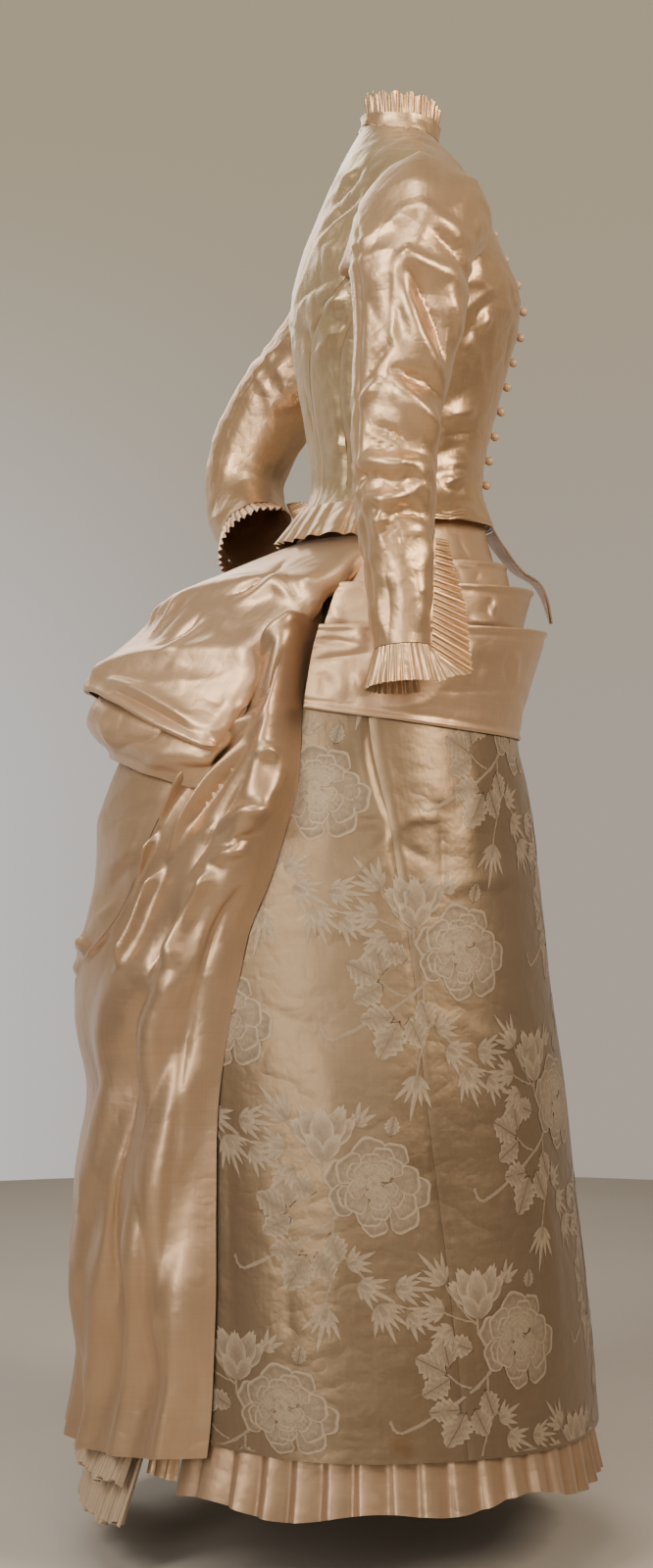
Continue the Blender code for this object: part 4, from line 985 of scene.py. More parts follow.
def strip(name, roots, outs, widths, count, depth, material, node, points_each=9, rows=9, seed=3):
    """A pleated strip hung from a line of roots, each with its width and wave direction."""
    run = np.concatenate(((0.0,), np.cumsum(np.linalg.norm(np.diff(roots, axis=0), axis=1))))
    columns = count * points_each + 1
    where = np.linspace(0.0, run[-1], columns)
    root, out, width = [
        np.stack([np.interp(where, run, line[:, k]) for k in range(3)], axis=1)
        for line in (roots, outs, widths)
    ]
    soft = np.ones(5) / 5.0
    for _ in range(3):
        for line in (out, width):
            padded = np.concatenate((line[:1].repeat(2, 0), line, line[-1:].repeat(2, 0)))
            line[:] = np.stack([np.convolve(padded[:, k], soft, "valid") for k in range(3)], axis=1)
    out /= np.linalg.norm(out, axis=1, keepdims=True)
    spin = np.random.default_rng(seed)
    jitter = np.interp(np.arange(columns), np.arange(0, columns + points_each, points_each),
                       spin.uniform(-0.16, 0.16, len(np.arange(0, columns + points_each, points_each))))
    phase = np.arange(columns) / points_each + jitter
    wave = pleats(phase, 0.7)[:, None]
    share = np.linspace(0.0, 1.0, rows)
    grid = np.array([root + width * s + out * wave * depth * (0.3 + 0.7 * s) for s in share])
    normal = facing(grid, away=root.mean(axis=0))
    lean = np.stack([out] * rows)
    normal = np.where(np.sum(normal * lean, axis=2, keepdims=True) < -0.2, -normal, normal)
    return sew(name, grid, normal, material, node, thick=0.0004)


def cuff(side, grid, normal, satin):
    """The pleated ruffle up the front vent and round the wrist."""
    ring = grid[-1]
    centre = ring.mean(axis=0)
    drop = (grid[-1] - grid[-2]).mean(axis=0)
    drop /= np.linalg.norm(drop)
    front = ring[FRONT_SEAM] - centre
    front -= drop * front.dot(drop)
    front /= np.linalg.norm(front)
    roots, outs, widths = [], [], []
    for k, r in enumerate(VENT_ROWS):
        out = normal[r, FRONT_SEAM]
        away = front - out * front.dot(out)
        if np.linalg.norm(away) < 0.3:
            sideways = np.cross(out, drop)
            away = -sideways * (1.0 if sideways.dot(normal[r, FRONT_SEAM - 2] - out) >= 0 else -1.0)
        away /= np.linalg.norm(away)
        share = k / (len(VENT_ROWS) - 1)
        roots.append(grid[r, FRONT_SEAM] + out * 0.0019 + drop * 0.0012 * share)
        outs.append(out * 0.15 - away)
        reach = CUFF_WIDTH * (0.30 + 0.85 * math.sqrt(share))
        widths.append(reach * (out * 0.95 + away * 0.22 + drop * (0.05 + 0.45 * share)))
    for k in range(SLEEVE_COUNT - 1):
        c = (FRONT_SEAM - k) % SLEEVE_COUNT
        point, out = ring[c], (ring[c] - centre) / np.linalg.norm(ring[c] - centre)
        roots.append(point - out * 0.0004 + drop * (0.0030 if k == 0 else 0.0008))
        outs.append(out)
        turn = max(0.0, 1.0 - k / 2.0)
        widths.append(CUFF_WIDTH * (drop * (1.0 - 0.35 * turn) + out * (0.25 + 0.45 * turn)))
    name = "cuff_ruffle_" + side
    strip(name + "_cloth", np.array(roots), np.array(outs), np.array(widths), 46, 0.0042, satin, name)


def neck(satin):
    """Standing collar band, crumpled by wear, and the gathered frill inside it."""
    turn = np.arange(0, 360, 2.5)
    v = np.linspace(0, 2, 16)
    grid, normal = on_ring(COLLAR, v[:, None], turn[None, :]), ring_out(COLLAR, v[:, None], turn[None, :])
    grid = uneven(grid, normal, 0.022, 0.0011, 71)
    sew("collar_band_cloth", grid, normal, satin, "collar_band", wrap=True)
    count, each = 34, 9
    v = np.linspace(0, 2, 16)
    turn = np.arange(count * each) * 360.0 / (count * each)
    base = on_ring(FRILL, v[:, None], turn[None, :])
    out = ring_out(FRILL, v[:, None], turn[None, :])
    out[..., 2] = 0
    out /= np.linalg.norm(out, axis=2, keepdims=True)
    spin = np.random.default_rng(5)
    sway = np.interp(np.arange(count * each), np.arange(0, count * each + each, each),
                     spin.uniform(-0.22, 0.22, count + 1))
    wave = pleats(np.arange(count * each) / each + sway, 0.62)
    tall = spin.uniform(0.7, 1.25, count).repeat(each)
    height = (0.0006 + 0.0030 * (v[:, None] / 2.0) ** 1.2) * wave[None, :] * tall[None, :]
    grid = base + out * height[..., None]
    grid[..., 2] += (v[:, None] / 2.0) ** 2 * 0.0022 * np.sin(turn * 0.31)[None, :]
    normal = facing(grid, wrap=True)
    normal = np.where(np.sum(normal * out, axis=2, keepdims=True) < 0, -normal, normal)
    sew("neck_frill_cloth", grid, normal, satin, "neck_frill", wrap=True, thick=0.0004)


def buttons(satin):
    """Cloth-covered balls, each with the gather of its cover under it."""
    v = np.linspace(0, 10, 200)
    line = on_ring(BODICE, v, 0 * v)
    for i in range(BUTTON_COUNT):
        z = BUTTON_TOP - i * BUTTON_PITCH
        y = np.interp(z, line[:, 2], line[:, 1])
        step = np.array((0.0, np.interp(z + 0.004, line[:, 2], line[:, 1]) - y, 0.004))
        normal = np.array((0.0, -step[2], step[1]))
        normal /= np.linalg.norm(normal)
        if normal[1] > 0:
            normal = -normal
        centre = np.array((0.0, y, z)) + normal * (BUTTON_RADIUS + SEAM)
        bpy.ops.object.select_all(action="DESELECT")
        bpy.ops.mesh.primitive_uv_sphere_add(segments=20, ring_count=12, radius=BUTTON_RADIUS)
        ball = bpy.context.object
        ball.name = "button_%02d_cover" % (i + 1)
        turn = Vector((0, 0, 1)).rotation_difference(Vector(normal)).to_matrix().to_4x4()
        turn.translation = Vector(centre)
        for point in ball.data.vertices:
            around = math.atan2(point.co.y, point.co.x)
            under = max(0.0, -point.co.z / BUTTON_RADIUS)
            point.co *= 1.0 - 0.05 * under * (0.5 + 0.5 * math.cos(10 * around))
            if point.co.z > 0:
                point.co.z *= 0.94
        ball.data.transform(turn)
        bpy.ops.object.shade_smooth()
        ball.data.materials.clear()
        ball.data.materials.append(satin)
        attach(ball, "root")
        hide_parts("button_%02d" % (i + 1))


def gore_turn(v):
    return rows_at(GORE, v)[..., 1]


class Skirt:
    """The brocade ground as one surface with its soft relief, cut into gores afterwards."""

    def __init__(self):
        self.v = np.linspace(0.0, HEM, 200)
        self.turn = np.linspace(-SKIRT_REAR, SKIRT_REAR, 340)
        v, turn = self.v[:, None], self.turn[None, :]
        points, normal = on_ring(SKIRT, v, turn), ring_out(SKIRT, v, turn)
        radius = np.linalg.norm(points[..., :2] - np.array((0.0, 0.04)), axis=2)
        gap = (np.abs(turn) - gore_turn(self.v)[:, None]) * np.pi / 180 * radius
        shift = -0.0014 * np.exp(-(gap / 0.003) ** 2) + 0.0005 * np.exp(-((gap + 0.008) / 0.005) ** 2)
        sway = np.clip((v - 0.30) / 0.5, 0, 1)
        flutes = np.sin(np.radians(turn) * 5.0 + 2.1 * v) * np.cos(np.radians(turn) * 1.7)
        shift = shift + 0.0030 * sway * flutes
        out = points + normal * shift[..., None]
        out = uneven(out, normal, 0.16, 0.0012, 41)
        creases = []
        for row in SKIRT_CREASES:
            for sign in (1, -1):
                far = 0.8 if sign < 0 else 1.0
                ends = [50.0 + sign * t / (2 * SKIRT_REAR) * 100.0 if k % 2 == 0 else t / 10.0 / HEM
                        for k, t in enumerate(row[:6])]
                creases.append((*ends, row[6], row[7] * far, row[8]))
        self.points = creased(out, normal, creases)
        self.normal = facing(self.points, away=(0.0, 0.04, -0.5))
        steps = np.linalg.norm(np.diff(points, axis=1), axis=2)
        run = np.concatenate((np.zeros((len(self.v), 1)), np.cumsum(steps, axis=1)), axis=1)
        side = np.array([np.interp(90.0, self.turn, line) for line in run])
        self.run = side[:, None] - run

    def shares(self, v, turn):
        return (turn + SKIRT_REAR) / (2 * SKIRT_REAR), v / HEM

    def place(self, v, turn, lift=0.0):
        a, b = self.shares(v, turn)
        return at(self.points, a, b) + at(self.normal, a, b) * lift

    def out(self, v, turn):
        return at(self.normal, *self.shares(v, turn))

    def turn_of(self, s, v):
        """The turn that lies s metres forward of the wearer's right side, at drop v."""
        row = np.clip(v / HEM, 0, 1) * (len(self.v) - 1)
        low = np.minimum(row.astype(int), len(self.v) - 2)
        f = row - low
        result = np.empty_like(s)
        for i in np.ndindex(s.shape):
            line = self.run[low[i]] * (1 - f[i]) + self.run[low[i] + 1] * f[i]
            result[i] = np.interp(-s[i], -line, self.turn)
        return result


def gores(skirt, brocade, satin):
    """Front gore, two side gores and the plain back."""
    v = skirt.v
    gap = SEAM / 2 / SKIRT_RADIUS * DEGREES
    gore = gore_turn(v)
    cuts = (
        ("skirt_front", -gore + gap, gore - gap, 210),
        ("skirt_side_right", gore + gap, 0 * v + SKIRT_REAR, 90),
        ("skirt_side_left", 0 * v - SKIRT_REAR, -gore - gap, 90),
    )
    for name, left, right, columns in cuts:
        turn = left[:, None] + (right - left)[:, None] * np.linspace(0, 1, columns)[None, :]
        rows = np.broadcast_to(v[:, None], turn.shape)
        sew(name + "_cloth", skirt.place(rows, turn), skirt.out(rows, turn), brocade, name)
    low = np.linspace(0.0, HEM, 90)
    points, normal = lay(SKIRT, low, SKIRT_REAR + gap, 360 - SKIRT_REAR - gap, 50)
    points = uneven(points, normal, 0.12, 0.0010, 55)
    sew("skirt_back_cloth", points, normal, satin, "skirt_back")


# Rose spray, drawn about the open rose's middle in millimetres: x towards the front, y up.
PETAL_RINGS = (
    # middle x, y, radius of the ring, petals, length, half spread in degrees, first turn, tone
    (0.0, 0.0, 15.0, 7, 33.0, 40.0, 14.0, 0.34),
    (-1.0, 1.0, 12.0, 6, 28.0, 42.0, 48.0, 0.50),
    (-2.0, 3.0, 9.0, 6, 23.0, 40.0, 5.0, 0.62),
    (-3.0, 4.0, 6.0, 5, 18.0, 44.0, 40.0, 0.74),
    (-4.0, 5.0, 4.0, 5, 12.0, 44.0, 12.0, 0.86),
    (-4.0, 5.0, 0.0, 6, 8.0, 40.0, 50.0, 0.95),
)
BUD = (
    # x, y of the foot, turn of the petal from upright, length, width, tone
    (-50.0, 38.0, 52.0, 38.0, 25.0, 0.60),
    (-50.0, 38.0, -50.0, 38.0, 25.0, 0.60),
    (-50.0, 34.0, 27.0, 45.0, 27.0, 0.72),
    (-50.0, 34.0, -25.0, 45.0, 27.0, 0.72),
    (-50.0, 31.0, 3.0, 42.0, 28.0, 0.84),
    (-50.0, 26.0, 36.0, 28.0, 18.0, 0.9),
    (-50.0, 26.0, -34.0, 28.0, 18.0, 0.9),
)
LEAVES = (
    # x, y of the foot, turn from upright, length, width
    (-84.0, -24.0, 62.0, 36.0, 25.0),
    (-82.0, -20.0, 12.0, 40.0, 27.0),
    (-80.0, -27.0, 118.0, 34.0, 24.0),
    (-70.0, -58.0, 92.0, 34.0, 23.0),
    (-66.0, -60.0, 150.0, 42.0, 29.0),
    (-58.0, -57.0, 205.0, 33.0, 23.0),
    (-56.0, -4.0, 70.0, 30.0, 20.0),
    (-46.0, -40.0, -160.0, 30.0, 21.0),
    (12.0, 46.0, -12.0, 20.0, 13.0),
)
SPRAYS = (
    # x, y of the foot, turn from upright, size, count of blades
    (-84.0, 62.0, 42.0, 34.0, 7),
    (-86.0, 36.0, 84.0, 32.0, 7),
    (-78.0, 18.0, 118.0, 28.0, 6),
    (-20.0, 58.0, -38.0, 22.0, 5),
    (-20.0, -88.0, -118.0, 32.0, 7),
    (-2.0, -108.0, -150.0, 36.0, 8),
    (-50.0, -112.0, 168.0, 36.0, 7),
    (14.0, -92.0, -96.0, 32.0, 7),
    (-30.0, -70.0, -76.0, 26.0, 6),
    (26.0, -118.0, -132.0, 30.0, 6),
)
STEMS = (
    # three points of each stem, then its width
    (-38.0, -22.0, -64.0, -44.0, -128.0, -78.0, 2.8),
    (-42.0, -30.0, -30.0, -66.0, 22.0, -116.0, 2.0),
    (-34.0, -62.0, -44.0, -84.0, -52.0, -114.0, 1.8),
    (-26.0, -12.0, -48.0, 6.0, -50.0, 30.0, 2.4),
    (-60.0, -38.0, -72.0, -34.0, -84.0, -24.0, 1.8),
    (-52.0, 20.0, -66.0, 34.0, -84.0, 60.0, 1.8),
    (-52.0, 22.0, -68.0, 26.0, -86.0, 34.0, 1.6),
    (-128.0, -78.0, -136.0, -76.0, -140.0, -66.0, 2.4),
)


def leaned(x, y, turn):
    """Turns upright drawn points by turn degrees, anticlockwise on the cloth seen from outside."""
    s, c = math.sin(math.radians(turn)), math.cos(math.radians(turn))
    return x * c - y * s, x * s + y * c


def drawn_petal(length, width, tone):
    """A scalloped petal standing on the origin: points and tones."""
    across, down = np.meshgrid(np.linspace(-1, 1, 7), np.linspace(0, 1, 6))
    profile = np.sin(np.pi * np.clip(0.14 + 0.80 * down, 0, 1)) ** 0.55 * (0.35 + 0.65 * np.sqrt(down + 0.02))
    top = 1.0 - 0.16 * across**2 + 0.05 * np.cos(3 * np.pi * across)
    x = across * 0.5 * width * profile
    y = down * length * (1.0 - (1.0 - top) * down)
    rim = np.maximum(np.abs(across) ** 4 * np.clip(down * 2.5, 0, 1), down**5)
    shade = tone * (0.52 + 0.16 * down) + (1.0 - 0.45 * tone) * rim
    return x, y, np.clip(shade, 0, 1)


def drawn_fan(length, spread, tone, curl):
    """A broad rolled rose petal opening from the origin: dark in its hollow, pale along its turned rim."""
    across, down = np.meshgrid(np.linspace(-1, 1, 11), np.array((0.0, 0.25, 0.5, 0.72, 0.88, 0.95, 1.0)))
    reach = 1.0 - 0.22 * np.abs(across) ** 2.4 + 0.032 * np.cos(2.2 * np.pi * across + curl)
    turn = np.radians(spread * across * (1.0 - 0.12 * down**3))
    x = length * down * reach * np.sin(turn)
    y = length * down * reach * np.cos(turn)
    rim = np.maximum(np.clip((down - 0.88) / 0.07, 0, 1), np.abs(across) ** 12 * np.clip(down * 2.0, 0, 1))
    lines = 0.09 * np.cos(4.0 * np.pi * across) * down
    shade = 0.35 + 0.46 * tone * down**0.8 + 0.14 * tone - 0.20 * (down > 0.8) * (1 - rim) + lines
    return x, y, np.clip(shade * (1 - rim) + rim * (0.74 + 0.2 * tone), 0, 1)


def drawn_leaf(length, width, half):
    """Half of a toothed leaf beside its midrib."""
    across, down = np.meshgrid(np.linspace(0, 1, 4), np.linspace(0, 1, 11))
    teeth = 1.0 + 0.16 * np.where(np.arange(11) % 2 == 0, -1.0, 1.0)[:, None] * across**3
    profile = np.sin(np.pi * np.clip(down, 0.0, 1.0) ** 0.82) ** 0.8
    x = half * (0.35 + across * 0.5 * width * profile * teeth)
    y = length * (down + 0.10 * across * (1 - down))
    vein = 0.5 + 0.5 * np.cos(np.pi * (down * 10 + across * 3.0))
    shade = 0.50 + 0.28 * vein * across + 0.2 * across**4
    return x, y, np.clip(shade, 0, 1)


def drawn_blade(length, width):
    across, down = np.meshgrid(np.linspace(-1, 1, 3), np.linspace(0, 1, 5))
    profile = np.sin(np.pi * np.clip(0.08 + 0.9 * down, 0, 1)) ** 0.9
    return across * 0.5 * width * profile, down * length, 0.55 + 0.35 * down * (1 - 0.4 * np.abs(across))


def rose_spray():
    """One repeat of the pattern: a list of (x, y, tone, layer) grids in millimetres."""
    drawn = []

    def put(shape, x, y, turn, layer):
        px, py, tone = shape
        qx, qy = leaned(px, py, turn)
        drawn.append((qx + x, qy + y, tone, layer))

    for x0, y0, x1, y1, x2, y2, width in STEMS:
        s = np.linspace(0, 1, 12)
        bx, by = 2 * x1 - 0.5 * (x0 + x2), 2 * y1 - 0.5 * (y0 + y2)
        cx = (1 - s) ** 2 * x0 + 2 * s * (1 - s) * bx + s * s * x2
        cy = (1 - s) ** 2 * y0 + 2 * s * (1 - s) * by + s * s * y2
        tx, ty = np.gradient(cx), np.gradient(cy)
        size = np.hypot(tx, ty)
        nx, ny = -ty / size, tx / size
        thorn = 0.5 * width * (1.0 + 0.9 * (np.arange(12) % 3 == 1))
        low, high = 0.5 * width, thorn
        drawn.append((np.stack((cx - nx * low, cx + nx * high)), np.stack((cy - ny * low, cy + ny * high)),
                      np.full((2, 12), 0.62), 0))
    for x, y, turn, length, width in LEAVES:
        for half in (-1, 1):
            put(drawn_leaf(length, width, half), x, y, turn, 1)
    for x, y, turn, size, blades in SPRAYS:
        for k in range(blades):
            share = k / (blades - 1) - 0.5
            length = size * (0.95 - 0.9 * abs(share) + 0.25 * (k % 2))
            put(drawn_blade(length, 5.2), x, y, turn + 105 * share, 2)
        put(drawn_petal(size * 0.55, size * 0.34, 0.9), x, y, turn, 3)
    for x, y, turn, length, width, tone in BUD:
        put(drawn_petal(length, width, tone), x, y, turn, 3 + (tone > 0.65) + (tone > 0.8) + (tone > 0.88))
    for order, (mid_x, mid_y, radius, count, length, spread, first, tone) in enumerate(PETAL_RINGS):
        for k in range(count):
            turn = first + 360.0 * k / count + 9.0 * math.sin(2.3 * k + order)
            x, y = leaned(0.0, radius, turn)
            grow = 1.0 + 0.11 * math.sin(1.7 * k + 2 * order)
            petal = drawn_fan(length * grow, spread * (1.0 + 0.12 * math.cos(2.9 * k)), tone, 1.9 * k + order)
            put(petal, x + mid_x, y + mid_y, turn, 4 + order + 0.3 * (k % 3))
    for k in range(11):
        x, y = leaned(0.0, 1.5 + 2.2 * (k % 3), 33.0 * k)
        put(drawn_blade(3.2, 1.9), x - 4.0, y + 5.0, 33.0 * k, 9.5)
    return drawn


# How far the pattern is laid in under a fall's edge, in degrees.
UNDER_FALL = 14.0


def roses(skirt, silk):
    """The repeat laid over the gores in its half-drop order, as a thin raised weft on the ground."""
    spray = rose_spray()
    verts, faces, tones, plane = [], [], [], []
    count = 0
    for i in range(-7, 9):
        for k in range(-7, 8):
            s0 = ROSE_START[0] + i * ROSE_STEP_A[0] + k * ROSE_STEP_B[0]
            t0 = ROSE_START[1] + i * ROSE_STEP_A[1] + k * ROSE_STEP_B[1]
            if not (-0.13 < t0 < HEM + 0.16 and skirt.run.min() - 0.1 < s0 < skirt.run.max() + 0.15):
                continue
            for x, y, tone, layer in spray:
                s, v = s0 + x / 1000.0, t0 - y / 1000.0
                inside = (v > 0.150) & (v < HEM - 0.004)
                if not inside.any():
                    continue
                v = np.clip(v, 0.150, HEM - 0.004)
                turn = skirt.turn_of(s, v)
                last = np.minimum(SKIRT_REAR, rows_at(FALL_EDGE, v)[..., 1] + UNDER_FALL)
                kept = inside & (np.abs(turn) < last)
                if not kept.any():
                    continue
                place = skirt.place(v, turn, 0.00028 + 0.00005 * layer)
                rows, columns = s.shape
                verts.append(place.reshape(-1, 3))
                tones.append(tone.reshape(-1))
                plane.append(np.stack((x, y), axis=-1).reshape(-1, 2) / 1000.0)
                for r in range(rows - 1):
                    for c in range(columns - 1):
                        a = count + r * columns + c
                        if kept[r:r + 2, c:c + 2].any():
                            faces.append((a, a + 1, a + columns + 1, a + columns))
                count += rows * columns
    verts, faces, tones = np.concatenate(verts), np.array(faces), np.concatenate(tones)
    plane = np.concatenate(plane)
    p = verts[faces]
    out = np.cross(p[:, 2] - p[:, 0], p[:, 3] - p[:, 1])
    wanted = p.mean(axis=1) - np.array((0.0, 0.04, 0.0))
    wanted[:, 2] = 0
    wrong = np.sum(out * wanted, axis=1) < 0
    faces[wrong] = faces[wrong][:, ::-1]
    mesh = bpy.data.meshes.new("rose_weft")
    mesh.from_pydata(verts.tolist(), [], faces.tolist())
    mesh.polygons.foreach_set("use_smooth", np.ones(len(faces), dtype=bool))
    layer = mesh.attributes.new("tone", "FLOAT", "POINT")
    layer.data.foreach_set("value", tones)
    uv = mesh.uv_layers.new(name="cloth")
    uv.data.foreach_set("uv", plane[faces.ravel()].ravel())
    mesh.materials.append(silk)
    piece = bpy.data.objects.new("rose_weft", mesh)
    bpy.context.scene.collection.objects.link(piece)
    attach(piece, "root")
    return piece


def pleated(name, table, rows, turns, count, inset, depth, material, flare=0.0, ragged=0.0, crisp=0.82,
            each=9, deep=12, wander=0.12, thick=0.0005, seed=1, node=None, open_foot=0.55,
            step=0.0022, over=0.0):
    """A pleated strip on a ring surface, moved in by inset, its pleats depth high at the foot."""
    columns = count * each + 1
    v = np.linspace(*rows, deep)
    share = np.linspace(0, 1, deep)[:, None]
    spin = np.random.default_rng(seed)
    knots = np.arange(0, columns + each, each)
    sway = np.interp(np.arange(columns), knots, spin.uniform(-wander, wander, len(knots)))
    phase = np.arange(columns) / each + sway
    whole = np.floor(phase)
    part = phase - whole
    folded = np.where(part < crisp, part / crisp * (1 + over), 1 + over - over * (part - crisp) / (1 - crisp))
    place = whole + folded - sway if over else np.arange(columns) / each
    turn = turns[0] + (turns[1] - turns[0]) * np.clip(place / count, 0.0, 1.0)
    tall = np.interp(np.arange(columns), knots, spin.uniform(0.75, 1.15, len(knots)))
    base = on_ring(table, v[:, None], turn[None, :])
    away = base - np.array((0.0, 0.05, 0.0))
    away[..., 2] = 0.0
    away /= np.linalg.norm(away, axis=2, keepdims=True)
    wave = pleats(phase, crisp)[None, :]
    height = depth * tall * (1 - open_foot + open_foot * share) * wave + flare * share
    points = base + away * (height - inset)[..., None]
    i = np.arange(columns) * 4.0 / each
    points[..., 2] += ragged * share * (np.sin(i * 0.21) * np.cos(i * 0.083))[None, :]
    points[..., 2] += step * share**2 * (wave - 0.5)
    normal = facing(points, away=(0.0, 0.05, -0.5))
    if not over:
        normal = np.where(np.sum(normal * away, axis=2, keepdims=True) < -0.35, -normal, normal)
    return sew(name, points, normal, material, node, thick=thick)


def hems(satin, shade_tinted, sheer):
    """The pleated front flounce, back strips, sheer dust ruffles and the fluted peplum; the flounce takes the
    darker satin copy with painted shade.
    """
    pleated("front_flounce_cloth", SKIRT, (0.90, 1.025), (-140.0, 140.0), FLOUNCE_PLEATS, HUNG_INSIDE + 0.0012,
            0.0090, shade_tinted, ragged=0.010, node="front_flounce", each=12, wander=0.10, seed=8)
    for side, low, high in (("right", 140.7, 150.0), ("left", 210.0, 219.3)):
        pleated("back_strip_" + side + "_cloth", SKIRT, (0.90, 1.00), (low, high), 3, HUNG_INSIDE, 0.008, satin,
                node="back_strip_" + side)
    pleated("dust_ruffle_upper_cloth", SKIRT, (0.925, 1.01), (150.6, 209.4), 58, -0.0022, 0.0090, sheer,
            flare=0.018, ragged=0.005, node="dust_ruffle_upper", crisp=0.55, each=8, wander=0.35,
            thick=0.0004, step=0.004)
    pleated("dust_ruffle_lower_cloth", SKIRT, (0.925, 1.058), (150.6, 209.4), 60, HUNG_INSIDE + 0.0008, 0.0100,
            sheer, flare=0.017, ragged=0.005, node="dust_ruffle_lower", crisp=0.55, each=8, wander=0.35,
            thick=0.0004, seed=4, step=0.004)
    top = rows_at(BODICE, PEPLUM_LEVEL)
    peplum = ((0.0, *top[1:]), PEPLUM_FOOT)
    pleated("peplum_back_cloth", peplum, (0.0, 1.0), PEPLUM_SPAN, PEPLUM_FLUTES, -0.0018, 0.0052, satin,
            node="peplum_back", crisp=0.5, each=20, deep=16, wander=0.25, seed=12, ragged=0.004)


def front_point(satin):
    """The stiff pointed tab below the front closure, its edge corded."""
    data = finer(np.repeat(np.array(POINT)[:, None, :], 2, axis=1), 40, 2)[:, 0]
    across = np.linspace(1, -1, 25)
    x = data[:, 2:3] * across[None, :]
    points = np.stack((x, data[:, 0:1] + x * x * 3.0, np.broadcast_to(data[:, 1:2], x.shape)), axis=-1)
    normal = facing(points, away=(0.0, 0.05, -0.09))
    points = uneven(points, normal, 0.035, 0.0006, 61)
    gap = np.minimum(1 - np.abs(across)[None, :], 9) * data[:, 2:3]
    points = points + normal * (0.0010 * np.exp(-((gap - 0.0020) / 0.0016) ** 2))[..., None]
    sew("front_point_cloth", points, normal, satin, "front_point", thick=0.0010)


def moved_out(table, v, turn, lift):
    point = on_ring(table, v, turn)
    away = point - np.array((0.0, 0.02, 0.0))
    away[..., 2] = 0.0
    return point + away / np.linalg.norm(away, axis=-1, keepdims=True) * np.asarray(lift)[..., None]


def hip(satin):
    """Swathed strips round the front and sides, each with its pulls and its turned lower edge, in the lighter
    satin copy with painted light.
    """
    above = (0.0, 0.0)
    turn = np.linspace(-HIP_END, HIP_END, 190)[None, :]
    bend = (turn / HIP_END) ** 2
    for beneath, (name, top, front, back, flare) in enumerate(HIP):
        rows = max(20, int((front - top) / 0.0022))
        share = np.linspace(0, 1, rows)[:, None]
        low = front + (back - front) * bend
        end = above[0] + (above[1] - above[0]) * bend
        v = top + (low - top) * share
        settle = np.clip((v - end) / (low - end), 0, 1)
        stand = flare * (1 - share) ** 2 * (0.35 + 0.65 * np.cos(np.radians(turn)) ** 2)
        lift = LAYER + HIP_EASE + (LAYER + HIP_EASE) * beneath * (1 - settle) + stand
        lift = lift + HIP_SWELL * np.sin(np.pi * share)
        points = moved_out(SKIRT, v, np.broadcast_to(turn, v.shape), lift)
        normal = facing(points, away=(0.0, 0.02, -0.15))
        points = uneven(points, normal, 0.06, 0.0006, 81 + beneath, edge_weight(points.shape, 0, 0, 0.15, 0.15))
        points = creased(points, normal, both_ways(HIP_CREASES.get(name, ())))
        points = crinkled(points, normal, 0.030, 0.0008, 85 + beneath, ((0.2, 0.9, 0.5), (0.2, 0.3, 1.0)),
                          edge_weight(points.shape, 0, 0, 0.12, 0.12))
        points = rolled(points, normal, "tf" if beneath else "f", 0.0012, 0.0025)
        normal = facing(points, away=(0.0, 0.02, -0.15))
        above = (front, back)
        sew(name + "_cloth", points, normal, satin, name)


def both_ways(table):
    """A crease table with its own likeness on the far side, a little shallower and lower."""
    far = [
        (100 - r[0], r[1] + 2, 100 - r[2], r[3] + 2, 100 - r[4], r[5] + 2, r[6] * 1.1, r[7] * 0.85, r[8])
        for r in table
    ]
    return list(table) + far


def raised(points, normal, folds):
    """Moves a grid out over each large fold of the frame's own tables."""
    out = points.copy()
    for a0, b0, a1, b1, width, height in folds:
        first, last = at(points, np.array(a0), np.array(b0)), at(points, np.array(a1), np.array(b1))
        line = last - first
        length = np.linalg.norm(line)
        line = line / length
        share = np.clip((points - first) @ line / length, 0, 1)
        gap = points - first - share[..., None] * length * line
        gap = gap - normal * np.sum(gap * normal, axis=2, keepdims=True)
        away = np.linalg.norm(gap, axis=2) / width
        out = out + normal * (height * np.exp(-away**2))[..., None]
    return out


def between(levels, count):
    """Rows between uneven levels, as many to each step."""
    return np.interp(np.linspace(0, len(levels) - 1, count), np.arange(len(levels)), levels)


def seated(points, turn):
    """The same places brought in to rest on the skirt."""
    v = -points[..., 2]
    for _ in range(4):
        v = v + on_ring(SKIRT, v, turn)[..., 2] - points[..., 2]
    return moved_out(SKIRT, v, turn, np.full(v.shape, LAYER + 0.0001))


LONG_PULLS = ((0.3, 1.0, 0.5), (0.2, 0.4, 1.0))


